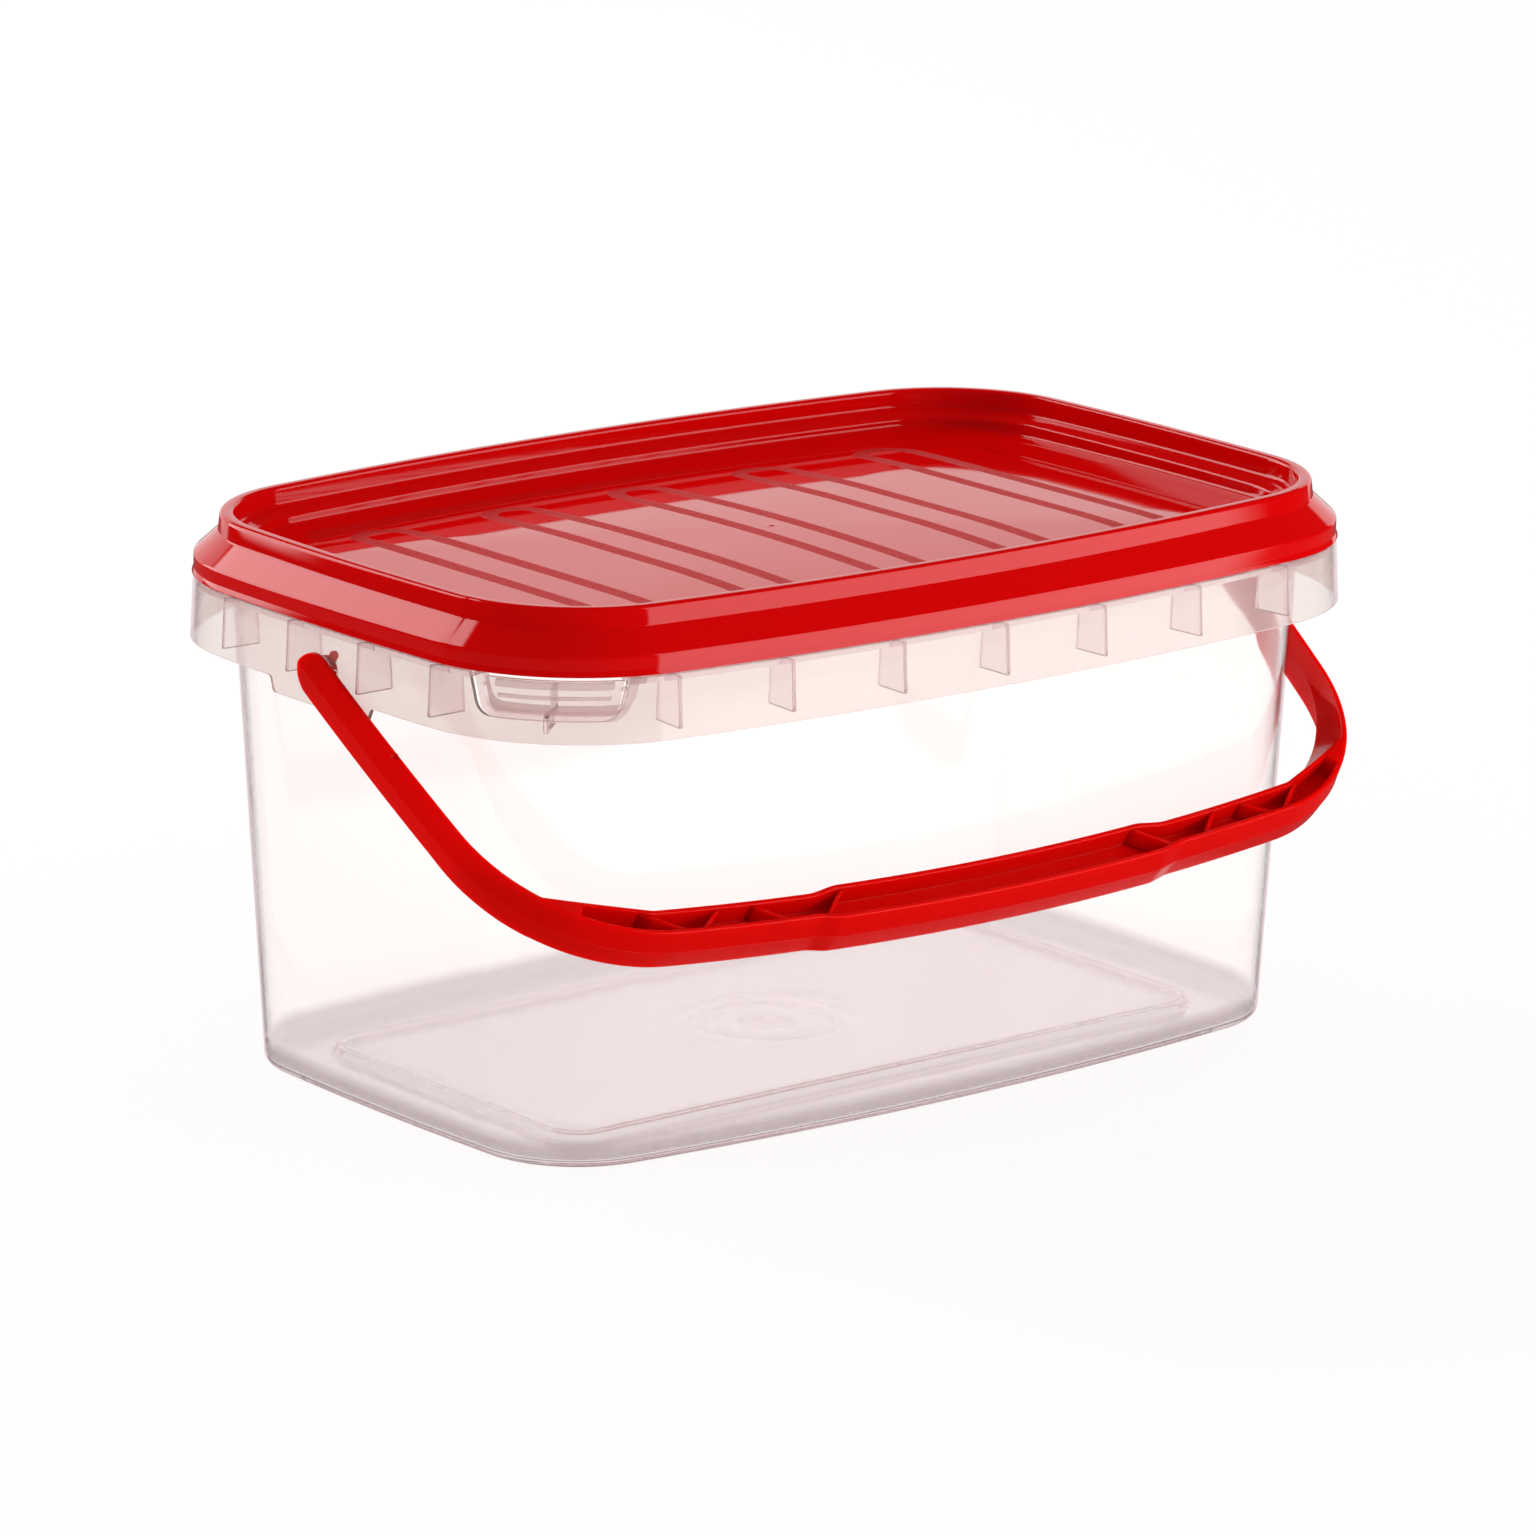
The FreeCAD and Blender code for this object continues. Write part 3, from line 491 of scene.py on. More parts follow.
tub = {
    "wallInset": 7.4, "wall": 1.0, "floor": 1.1, "flangeTop": -0.35, "flangeThick": 1.25,
    "footRound": 1.6, "innerRound": 1.3,
    # the raised middle, the round gate recess in it with the gate's point, and the low ring round that
    "pushLong": 77.2, "pushWide": 38.3, "pushCorner": 6.0, "pushHeight": 2.1,
    "gateDisc": 12.4, "gateDepth": 0.15, "gatePoint": 0.5, "gateDrop": 0.5,
    "ringRadius": 15.0, "ringRise": 0.06,
    # insets at which the flat faces of foot and floor give way to the base's raised middle
    "footFlat": 19.0, "floorFlat": 20.0,
    "rimInset": 6.15, "rimWall": 0.8, "rimHeight": 10.3, "lipInset": 1.8, "lipTop": 3.4, "lipThick": 0.8,
    "hookWidth": 0.7, "hookDrop": 1.8,
}
skirt = {"inset": -0.1, "flare": 0.65, "bottom": -12.4, "thick": 0.9, "earBottom": -15.3, "earTop": 16.0,
         "earLow": 14.8, "holeRadius": 3.08, "slotLength": 5.25, "slotWidth": 2.3, "pivotHeight": -8.6,
         "spacing": (1.6, 1.7), "edgeStep": 1.2, "holeStep": 0.8}


def wallFace(height):
    # inset of the wall's outer face: the draft draws it in by the share of the way down to the foot
    share = (tub["flangeTop"] - height) / (tub["flangeTop"] + lidSeat)
    return tub["wallInset"] + (footInset - tub["wallInset"]) * share


def skirtFace(height):
    # inset of the skirt's outer face: it flares out by the share of the way down to its lower edge
    share = (tub["flangeTop"] - height) / (tub["flangeTop"] - skirt["bottom"])
    return skirt["inset"] - skirt["flare"] * share


def pushRing(grow, z):
    # where rays from the middle cross a rounded rectangle: its sides, or else its corner circle
    a, b, r = tub["pushLong"] + grow, tub["pushWide"] + grow, tub["pushCorner"] + grow
    c, s = np.cos(bearings), np.sin(bearings)
    reach = np.minimum(a / np.maximum(np.abs(c), 1e-9), b / np.maximum(np.abs(s), 1e-9))
    inCorner = (np.abs(reach * c) > a - r) & (np.abs(reach * s) > b - r)
    middle = (a - r) * np.abs(c) + (b - r) * np.abs(s)
    root = np.sqrt(np.maximum(middle ** 2 - (a - r) ** 2 - (b - r) ** 2 + r * r, 0))
    reach = np.where(inCorner, middle + root, reach)
    return np.column_stack([reach * c, reach * s, np.full(len(c), z)])


def blendRings(first, last, count):
    # so many rings between two: first + share of the way to the last
    return [first + (last - first) * k for k in np.linspace(0, 1, count + 2)[1:-1]]


def makeTub():
    # rings from the gate's point under the base, over the foot, wall, lip and rim, and back down inside
    t = tub
    under, over = t["pushHeight"], t["pushHeight"] + t["floor"]
    dent = under + t["gateDepth"]
    point, disc, ring, step = t["gatePoint"], t["gateDisc"], t["ringRadius"], t["ringRise"]
    rings = [discRing(r, z) for r, z in (
        (point, dent - t["gateDrop"]), (point + 0.25, dent - 0.1), (point + 0.4, dent),
        (disc - 0.3, dent), (disc, dent - 0.1), (disc + 0.1, under), (disc + 0.3, under),
        (ring - 0.3, under), (ring, under + step), (ring + 0.7, under + step), (ring + 1.0, under))]
    rings += blendRings(rings[-1], pushRing(-0.9, under), 9)
    rings += [pushRing(grow, z) for grow, z in (
        (-0.9, under), (-0.35, under - 0.06), (-0.05, under - 0.4), (0.1, 0.5), (0.3, 0.14), (0.8, 0.0))]
    low = -lidSeat
    top, flange = t["flangeTop"], t["flangeTop"] - t["flangeThick"]
    innerFoot = wallFace(low + t["floor"]) + t["wall"]
    rings += blendRings(rings[-1], spot(allRound, t["footFlat"], low), 3)
    section = roundedSection((
        (t["footFlat"], low, 0), (footInset, low, t["footRound"]), (t["wallInset"] + 0.07, flange, 0.25),
        (t["rimInset"], flange, 0.15), (t["rimInset"], t["lipTop"] - t["lipThick"], 0.2),
        (t["lipInset"] + t["hookWidth"], t["lipTop"] - t["lipThick"], 0.2),
        (t["lipInset"] + t["hookWidth"], t["lipTop"] - t["hookDrop"], 0.2),
        (t["lipInset"], t["lipTop"] - t["hookDrop"], 0.2), (t["lipInset"], t["lipTop"], 0.5),
        (t["rimInset"], t["lipTop"], 0.3), (t["rimInset"], t["rimHeight"], 0.35),
        (t["rimInset"] + t["rimWall"], t["rimHeight"], 0.35), (t["rimInset"] + t["rimWall"], top, 0.3),
        (t["wallInset"] + t["wall"], top, 0.4), (innerFoot, low + t["floor"], t["innerRound"]),
        (t["floorFlat"], low + t["floor"], 0)))
    rings += [spot(allRound, inset, height) for inset, height in section]
    rings += blendRings(rings[-1], pushRing(2.2, t["floor"]), 3)
    rings += [pushRing(grow, z) for grow, z in (
        (2.2, t["floor"]), (1.5, t["floor"] + 0.1), (1.15, t["floor"] + 0.5), (0.95, over - 0.45),
        (0.7, over - 0.1), (0.2, over))]
    rings += blendRings(rings[-1], discRing(disc, over), 9)
    return skinOfRings(rings, (0, 0, dent - t["gateDrop"]), (0, 0, over))


addPiece("tubShell", [makeTub()], "tub_body", tubMaterial, sharp=50, replaced="tub")

notch = {"bearing": np.radians(225), "halfTop": 14.7, "halfLow": 12.9, "low": -8.1, "corner": 3.2,
         "ledge": 0.95, "ledgeSunk": 0.12, "ledgeIn": 0.5, "ribLow": -10.6}
notchSlope = (notch["halfTop"] - notch["halfLow"]) / (tub["flangeTop"] - notch["low"])


def notchSpot(u, inset, height):
    # a place on the corner arc at a distance u to the side of its bearing, sqrt((r - inset)^2 - u^2) ahead
    x, y, r = arcs[5, :3]
    ahead = np.sqrt((r - inset) ** 2 - u * u)
    c, s = np.cos(notch["bearing"]), np.sin(notch["bearing"])
    z = np.zeros(len(u)) + lidSeat + height
    return np.column_stack([x + ahead * c - u * s, y + ahead * s + u * c, z])


def alongNotch(u, height):
    # the same place as a distance round the outline: radius * arcsine of u over the skirt's radius
    return notchMiddle + arcs[5, 2] * np.arcsin(u / (arcs[5, 2] - skirtFace(height)))


def notchPath(halfTop, top, halfLow, low, corner):
    # down one leaning side, round two lower corners and up the other side
    return roundedSection(
        ((-halfTop, top, 0), (-halfLow, low, corner), (halfLow, low, corner), (halfTop, top, 0)), steps=9)


def finer(loop, step):
    # more points along the long edges of a closed loop: start + edge * k / count for each edge
    edge = np.roll(loop, -1, axis=0) - loop
    counts = np.maximum(np.ceil(np.linalg.norm(edge, axis=1) / step).astype(int), 1)
    k = np.arange(counts.sum()) - np.repeat(np.cumsum(counts) - counts, counts)
    share = (k * np.repeat(1 / counts, counts))[:, None]
    return np.repeat(loop, counts, axis=0) + np.repeat(edge, counts, axis=0) * share


def keyholeLoop(side):
    # a round pivot hole with a slot toward the front, for the stud's wing: a circle from the angle
    # arcsine(half slot / radius) round to the slot's other side, then the slot's end
    r, half = skirt["holeRadius"], skirt["slotWidth"] / 2
    start = np.arcsin(half / r)
    angles = np.pi + np.linspace(start, 2 * np.pi - start, 40)
    y = np.concatenate([r * np.cos(angles), [-skirt["slotLength"]] * 2])
    h = skirt["pivotHeight"] + np.concatenate([r * np.sin(angles), [half, -half]])
    middle = arcMiddles[0] if side > 0 else leftMiddle
    return finer(np.column_stack([middle + side * y, h]), skirt["holeStep"])


def makeSkirt():
    # unrolled: distance round the outline by height, with ears round the pivots and a dip at the tab
    s = skirt
    lower = [(0.0, s["bottom"], 0)]
    for middle in (arcMiddles[0], leftMiddle):
        lower += [(middle - s["earTop"], s["bottom"], 0.8), (middle - s["earLow"], s["earBottom"], 1.0),
                  (middle + s["earLow"], s["earBottom"], 1.0), (middle + s["earTop"], s["bottom"], 0.8)]
    lower = roundedSection(lower + [(roundLength, s["bottom"], 0)])
    dip = notchPath(notch["halfTop"], tub["flangeTop"], notch["halfLow"], notch["low"], notch["corner"])
    dip[:, 0] = alongNotch(dip[:, 0], dip[:, 1])
    upper = np.concatenate([[(0.0, tub["flangeTop"])], dip, [(roundLength, tub["flangeTop"])]])[::-1]
    loops = [finer(np.concatenate([lower, upper]), s["edgeStep"]), keyholeLoop(1), keyholeLoop(-1)]
    front = lambda p: spot(placesAt(p[:, 0]), skirtFace(p[:, 1]), p[:, 1])
    back = lambda p: spot(placesAt(p[:, 0]), skirtFace(p[:, 1]) + s["thick"], p[:, 1])
    return plateOf(loops, s["spacing"], front, back, seam=(0.0, roundLength))


def makeFlange():
    # a ring plate between rim wall and skirt: one section carried round the outline from one side of
    # the notch to the other
    clear = arcs[5, 2] * np.arcsin((notch["halfTop"] + 0.03) / arcs[5, 2])
    first, last = notchMiddle + clear, notchMiddle - clear + roundLength
    s = np.unique(np.concatenate([[first], roundPlaces(), roundPlaces() + roundLength, [last]]))
    places = placesAt(s[(s >= first) & (s <= last)])
    top, low = tub["flangeTop"], tub["flangeTop"] - tub["flangeThick"]
    outside, inside = skirtFace(top) + skirt["thick"] - 0.1, tub["rimInset"] + 0.2
    section = roundedSection(
        ((outside, top, 0), (outside, low, 0), (inside, low + 0.02, 0), (inside, top - 0.02, 0)), closed=True)
    rings = np.array([spot(places, inset, height) for inset, height in section]).transpose(1, 0, 2)
    return tubeOfRings(rings)


ribs = {"long": (0.0, 24.5, 49.7, 74.3), "short": (11.1, 32.7), "low": -10.8, "thick": 0.9, "rounding": 0.18,
        "inSkirt": 0.6, "inWall": 0.5}


def ribPlate(s, top, low):
    # a plate across the gap between wall and skirt, its ends sunk in both: its outline, moved half the
    # thickness to each side and a rounding smaller on the two faces
    place = placesAt(np.array([s]))
    corners = roundedSection((
        (skirtFace(top) + ribs["inSkirt"], top, 0.25), (wallFace(top) + ribs["inWall"], top, 0.25),
        (wallFace(low) + ribs["inWall"], low, 0.25), (skirtFace(low) + ribs["inSkirt"], low, 0.25)), 3, True)
    middle = np.concatenate([spot(place, inset, height) for inset, height in corners])
    across = np.array([-np.sin(place[0, 3]), np.cos(place[0, 3]), 0]) * ribs["thick"] / 2
    inward = middle.mean(0) - middle
    slim = middle + inward / np.linalg.norm(inward, axis=1)[:, None] * ribs["rounding"]
    return tubeOfRings([slim - across, middle - across * 0.6, middle + across * 0.6, slim + across])


def makeRibs():
    # the same distances to both sides of each side's middle, and one more rib under the notch
    top = tub["flangeTop"] - tub["flangeThick"] / 2
    places = [arcMiddles[i] + side * x
              for i in (2, 6) for x in ribs["long"] for side in ((-1, 1) if x else (1,))]
    places += [arcMiddles[i] + side * y for i in (0, 4) for y in ribs["short"] for side in (-1, 1)]
    plates = [ribPlate(s, top, ribs["low"]) for s in places]
    return plates + [ribPlate(notchMiddle, notch["low"] + 0.5, notch["ribLow"])]


def makeLedge():
    # the U-shaped shelf round the tear tab, from the skirt's face in to the wall: the notch's outline
    # and the same one moved in by the ledge's thickness
    n = notch
    top, sunk, thick = tub["flangeTop"] - n["ledgeSunk"], n["ledgeSunk"], n["ledge"]
    outer = notchPath(n["halfTop"] + sunk, top, n["halfLow"] + sunk, n["low"] - sunk, n["corner"] + sunk)
    inner = notchPath(n["halfTop"] - thick, top, n["halfLow"] - thick + notchSlope * thick,
                      n["low"] + thick, n["corner"] - thick)
    loop = finer(np.concatenate([outer, inner[::-1]]), 1.0)
    front = lambda p: notchSpot(p[:, 0], skirtFace(p[:, 1]) + sunk / 3, p[:, 1])
    back = lambda p: notchSpot(p[:, 0], tub["wallInset"] + n["ledgeIn"], p[:, 1])
    return plateOf([loop], (1.0, 1.0), front, back)


addPiece("tubSkirt", [makeSkirt(), makeLedge()], "tub_body", skirtMaterial, sharp=30)
addPiece("tubFlange", [makeFlange()] + makeRibs(), "tub_body", tubMaterial, sharp=30)
print("tub made")

tab = {"halfTop": 12.7, "halfLow": 11.5, "top": -0.7, "low": -6.85, "thick": 0.9, "corner": 1.6,
       # half length, low, high, depth of the ribs on its back
       "ribs": ((10.8, -2.5, -1.3, 1.3), (10.3, -4.4, -3.8, 0.7), (0.5, -6.75, -2.0, 3.0)),
       "ribSunk": 0.2,
       # the two bridges: height, size, gap to the ledge, where they start, depths of front and back
       "bridgeHeight": -2.3, "bridgeSize": 0.6, "bridgeGap": 0.12, "bridgeFrom": 12.2,
       "bridgeDepths": (0.15, 0.75)}


def tabPlate(loop, frontDepth, backDepth):
    # a rounded outline between two depths behind the skirt's outer face
    loop = finer(roundedSection(loop, 6, True), 0.9)
    front = lambda p: notchSpot(p[:, 0], skirtFace(p[:, 1]) + frontDepth, p[:, 1])
    back = lambda p: notchSpot(p[:, 0], skirtFace(p[:, 1]) + backDepth, p[:, 1])
    return plateOf([loop], (1.0, 1.0), front, back)


def barLoop(first, last, low, high, corner):
    # a rectangle from its upper corner at first, down, across to last and up again
    return (first, high, corner), (first, low, corner), (last, low, corner), (last, high, corner)


def makeTab():
    # the face plate, level and upright bars on its back, and a bridge on each side
    t = tab
    face = ((-t["halfTop"], t["top"], 0.3), (-t["halfLow"], t["low"], t["corner"]),
            (t["halfLow"], t["low"], t["corner"]), (t["halfTop"], t["top"], 0.3))
    parts = [tabPlate(face, 0, t["thick"])]
    for half, low, high, depth in t["ribs"]:
        bar = barLoop(-half, half, low, high, 0.15)
        parts.append(tabPlate(bar, t["thick"] - t["ribSunk"], t["thick"] + depth))
    reach = notch["halfTop"] - notch["ledge"] - notchSlope * (tub["flangeTop"] - t["bridgeHeight"])
    low, high = [t["bridgeHeight"] + side * t["bridgeSize"] / 2 for side in (-1, 1)]
    for side in (-1, 1):
        bar = barLoop(side * t["bridgeFrom"], side * (reach - t["bridgeGap"]), low, high, 0.1)
        parts.append(tabPlate(bar, *t["bridgeDepths"]))
    return parts


addPiece("tearTab", makeTab(), "tab_body", skirtMaterial, sharp=30, replaced="tear_tab")
print("tear tab made")

# the bail is worked out flat: x, reach from the pivots, height off the parting plane
bail = {
    "restAngle": 33.5, "pivotZ": 88.4, "halfSpan": 110.1, "armRadius": 790.0, "corner": 36.9, "cornerX": 70.6,
    "cornerReach": 43.5, "tipReach": 1.1,
    "armThick": 1.6, "armAbove": 4.8, "armBelow": 4.15, "fullBelow": 4.6,
    "growFrom": 44.0, "growTo": 62.0, "draft": 0.6, "web": 1.2, "wall": 1.0,
    # half widths and radii about the front's centre: outer face, inner face
    "outerSteps": ((40.1, 44.3), (646.85, 646.0)), "innerSteps": ((37.3, 42.9), (637.7, 638.9)),
    # the inner wall's upper edge and its swelling at the parting plane: angle where it leaves the strap,
    # a place on the way, the half width where its bend ends
    "edge": (38.0, (89.3, 68.9), 78.0), "swelling": (4.0, (95.4, 62.3), 78.0),
    # how far up the strap's inner face the swelling reaches, by angle round the corner
    "creaseAngle": (4, 13.6, 23, 33.6, 38), "creaseShare": (0.02, 0.3, 0.87, 0.95, 1),
    "pocketAngle": 50.9, "seamRise": 0.05, "seamHalf": 0.1,
    "ribThick": 0.8, "ribDrop": 0.4, "ribEnd": 0.87,
    # x on the inner wall, x on the outer wall, share of the way where the rib starts
    "ribs": ((35.3, 43.5, 0.0), (58.5, 49.9, 0.155), (62.2, 71.6, 0.155), (81.6, 71.6, 0.07)),
    "studRadius": 3.0, "studInner": 104.4, "collarRadius": 3.2, "collarX": 107.6,
    "wingLength": 4.9, "wingWidth": 1.6, "wingThick": 1.1,
    "nubReach": 26.5, "nubRadius": 0.65, "nubRise": 0.8, "nubSunk": 0.25, "nubInset": 0.95,
}
frontRise = np.sqrt((bail["outerSteps"][1][1] - bail["corner"]) ** 2 - bail["cornerX"] ** 2)
frontCentre = bail["cornerReach"] - frontRise


def armCentre():
    # a long arc from the pivot end that touches the corner circle from outside: its centre is its
    # radius from the pivot end, and its radius less the corner's from the corner's centre
    b = bail
    gap = np.hypot(b["halfSpan"] - b["cornerX"], b["cornerReach"])
    along = (gap ** 2 + b["armRadius"] ** 2 - (b["armRadius"] - b["corner"]) ** 2) / (2 * gap)
    across = np.sqrt(b["armRadius"] ** 2 - along ** 2)
    ux, ur = (b["cornerX"] - b["halfSpan"]) / gap, b["cornerReach"] / gap
    return b["halfSpan"] + along * ux - across * ur, along * ur + across * ux


def frontReach(x, steps, lift=0.0):
    # centre + sqrt(radius squared - x squared); the radius steps with x, eased over 1.4 mm
    nearby = np.abs(np.asarray(x))[:, None] + np.linspace(-0.7, 0.7, 9)
    radius = np.interp(np.abs(nearby), *steps).mean(1) + lift
    return frontCentre + np.sqrt(radius ** 2 - np.asarray(x) ** 2)


def bailPath():
    # the outer face's line with its outward normals, from one arm's end to the other: a long arc
    # about the arm's centre, an arc about the corner's, then the bowed front
    b = bail
    cx, cr = armCentre()
    meet = np.arctan2(b["cornerReach"] - cr, b["cornerX"] - cx)
    tipRadius = (b["armAbove"] + b["armBelow"]) / 2
    tip = b["tipReach"] - tipRadius * np.cos(np.linspace(0.03, np.pi / 2, 16))[:-1]
    s = np.concatenate([tip, np.linspace(b["tipReach"], cr + b["armRadius"] * np.sin(meet), 26)[:-1]])
    angle = np.arcsin((s - cr) / b["armRadius"])
    arm = np.column_stack([cx + b["armRadius"] * np.cos(angle), s, np.cos(angle), np.sin(angle)])
    tangent = np.arctan2(frontRise, b["cornerX"])
    pocket = np.radians(b["pocketAngle"])
    angle = np.sort(np.concatenate([np.linspace(meet, tangent, 72)[:-1], [pocket - 0.004, pocket + 0.004]]))
    c, s = np.cos(angle), np.sin(angle)
    corner = np.column_stack([b["cornerX"] + b["corner"] * c, b["cornerReach"] + b["corner"] * s, c, s])
    tangentX = b["outerSteps"][1][1] * np.cos(tangent)
    # stations lie closer along the steps out to the grip
    x = np.concatenate([
        np.linspace(tangentX, 46.4, 16), np.linspace(45.6, 36.0, 17), np.linspace(34.5, 0, 12)])
    reach = frontReach(x, b["outerSteps"])
    away = np.column_stack([x, reach - frontCentre])
    front = np.column_stack([x, reach, away / np.linalg.norm(away, axis=1)[:, None]])
    half = np.concatenate([arm, corner, front])
    return np.concatenate([half, (half * [-1, 1, -1, 1])[-2::-1]])


def innerLine(angle, via, bendX, lift=0.0):
    # half of an inner wall's line: an arc from the strap through a place to the bend, then the front
    b = bail
    r = b["corner"] - b["armThick"]
    angle = np.radians(angle)
    first = np.array([b["cornerX"] + r * np.cos(angle), b["cornerReach"] + r * np.sin(angle)])
    via, bend = np.array(via), np.array([bendX, frontReach([bendX], b["innerSteps"], lift)[0]])
    # the arc's centre lies on the perpendicular bisectors of its two chords
    centre = np.linalg.solve(2 * np.array([via - first, bend - first]),
                             [via @ via - first @ first, bend @ bend - first @ first])
    a0, a1 = np.arctan2(*(first - centre)[::-1]), np.arctan2(*(bend - centre)[::-1])
    turn = a0 + np.linspace(0, 1, 40) * ((a1 - a0 + np.pi) % (2 * np.pi) - np.pi)
    arc = centre + np.linalg.norm(first - centre) * np.column_stack([np.cos(turn), np.sin(turn)])
    x = np.linspace(bendX, 0, 79)[1:]
    return np.concatenate([arc, np.column_stack([x, frontReach(x, b["innerSteps"], lift)])])


def depthTo(line, path):
    # how far inward of each station the inner wall lies, where the ray along its normal n meets an
    # edge e of the line that starts at a: (a - station) x e / (n x e)
    line = np.concatenate([line, (line * [-1, 1])[-2::-1]])
    a, b = line[:-1], line[1:]
    p, n = path[:, :2], -path[:, 2:4]
    e = b - a
    cross = n[:, None, 0] * e[None, :, 1] - n[:, None, 1] * e[None, :, 0]
    cross = np.where(np.abs(cross) < 1e-9, 1e-9, cross)
    ap = a[None] - p[:, None]
    depth = (ap[..., 0] * e[None, :, 1] - ap[..., 1] * e[None, :, 0]) / cross
    share = (ap[..., 0] * n[:, None, 1] - ap[..., 1] * n[:, None, 0]) / cross
    good = (share >= -1e-6) & (share <= 1 + 1e-6) & (depth > 0)
    found = np.where(good, depth, 1e9).min(1)
    return np.where(found > 50, bail["armThick"], found)


def softened(section, radius):
    # section is corner by station by (depth, height); a parabola touching both edges takes each
    # corner: (1 - t)^2 first + 2 t (1 - t) corner + t^2 last
    before, after = np.roll(section, 1, 0) - section, np.roll(section, -1, 0) - section
    lb, la = np.linalg.norm(before, axis=2, keepdims=True), np.linalg.norm(after, axis=2, keepdims=True)
    cut = np.minimum(np.array(radius)[:, None, None], 0.46 * np.minimum(lb, la))
    first = section + before / np.maximum(lb, 1e-9) * cut
    last = section + after / np.maximum(la, 1e-9) * cut
    t = np.linspace(0, 1, 5)[None, :, None, None]
    curve = (1 - t) ** 2 * first[:, None] + 2 * t * (1 - t) * section[:, None] + t * t * last[:, None]
    return curve.reshape(-1, *section.shape[1:])


def toRest(flat):
    # flat x, reach, height to the bail's place at rest on the front wall: reach and height turned by
    # the rest angle about the pivots
    x, reach, height = flat[..., 0], flat[..., 1], flat[..., 2]
    c, s = np.cos(np.radians(bail["restAngle"])), np.sin(np.radians(bail["restAngle"]))
    return np.stack([x, -reach * c - height * s, bail["pivotZ"] - reach * s + height * c], -1)


def sideHeights(reach):
    # heights over and under the parting plane: middle +- sqrt(radius squared - distance squared)
    # round the arm's end, then level, and growing a little underneath toward the front
    b = bail
    middle, radius = (b["armAbove"] - b["armBelow"]) / 2, (b["armAbove"] + b["armBelow"]) / 2
    root = np.sqrt(np.maximum(radius ** 2 - np.minimum(reach - b["tipReach"], 0) ** 2, 1e-4))
    share = np.clip((reach - b["growFrom"]) / (b["growTo"] - b["growFrom"]), 0, 1)
    return middle + root, middle - root - (b["fullBelow"] - b["armBelow"]) * share


def makeBailFrame():
    # a closed section at every station of the outer line: station - outward normal * depth, and height
    b = bail
    path = bailPath()
    turn = np.degrees(np.arctan2(path[:, 3], np.abs(path[:, 2])))
    foot = np.maximum(depthTo(innerLine(*b["swelling"]), path), b["armThick"])
    edge = np.maximum(depthTo(innerLine(*b["edge"], b["draft"]), path), b["armThick"])
    share = np.interp(turn, b["creaseAngle"], b["creaseShare"])
    high, low = sideHeights(path[:, 1])
    seam = np.clip(0, low + 0.01, high - 0.01)
    sides = []
    for top, full in ((high, b["armAbove"]), (low, -b["fullBelow"])):
        lean = b["draft"] * np.clip((top - seam) / full, 0, 1)
        middle = (lean + edge) / 2
        outside = np.minimum(b["draft"] + b["wall"], middle)
        inside = np.maximum(edge - b["wall"] * path[:, 3], middle)
        isOpen = (inside - outside > 0.02) & (turn > b["pocketAngle"])
        deep = np.where(isOpen, np.sign(full) * b["web"] / 2, top)
        held = np.minimum(share, 0.93)
        crease = foot + (edge - foot) * held / share
        rise = seam + np.sign(full) * b["seamHalf"] * np.clip(np.abs(top - seam), 0, 1)
        sides.append([
            (np.full(len(path), b["seamRise"]), rise), (lean, top), (outside, top), (outside, deep),
            (inside, deep), (inside, top), (edge, top), (crease, seam + (top - seam) * held)])
    radii = [0.03, 0.42, 0.42, 0.35, 0.35, 0.42, 0.42, 0.3]  # of these eight corners
    line = [(np.zeros(len(path)), seam), (foot, seam)]
    section = np.array([np.column_stack(c) for c in [line[0]] + sides[0] + [line[1]] + sides[1][::-1]])
    section = softened(section, [0.03] + radii + [0.25] + radii[::-1])
    depth, height = section[..., 0], section[..., 1]
    x, reach, outX, outReach = path.T
    flat = np.stack([x - outX * depth, reach - outReach * depth, height], -1)
    return tubeOfRings(toRest(flat).transpose(1, 0, 2))


def makeBailRibs():
    # zigzag plates across the pockets, their ends sunk in both walls: start + course * k
    b = bail
    outerRadius, innerRadius = b["outerSteps"][1][1], b["innerSteps"][1][1]
    parts = []
    for innerX, outerX, begin in b["ribs"]:
        start = np.array([innerX, frontCentre + np.sqrt(innerRadius ** 2 - innerX ** 2)])
        course = np.array([outerX, frontCentre + np.sqrt(outerRadius ** 2 - outerX ** 2)]) - start
        across = np.array([-course[1], course[0]]) / np.linalg.norm(course) * b["ribThick"] / 2
        for full in (b["armAbove"], -b["fullBelow"]):
            high = full - np.sign(full) * b["ribDrop"]
            low = np.sign(full) * 0.2
            profile = roundedSection(((-1, low, 0), (-1, high, 0.3), (1, high, 0.3), (1, low, 0)), 4, True)
            # across by height, carried from the inner wall to the outer one
            for flip in (1, -1):
                rings = []
                for k in np.linspace(begin, b["ribEnd"], 5):
                    p = start + course * k + across * profile[:, :1]
                    rings.append(np.column_stack([p[:, 0] * flip, p[:, 1], profile[:, 1]]))
                parts.append(tubeOfRings(toRest(np.array(rings))))
    return parts


def turned(profile, side):
    # a profile of distance along X and radius, turned about the pivots' line
    angle = np.linspace(0, 2 * np.pi, 48, endpoint=False)
    x, r = profile[:, :1] * side, profile[:, 1:]
    return tubeOfRings(toRest(np.stack([x + 0 * angle, r * np.cos(angle), r * np.sin(angle)], -1)))


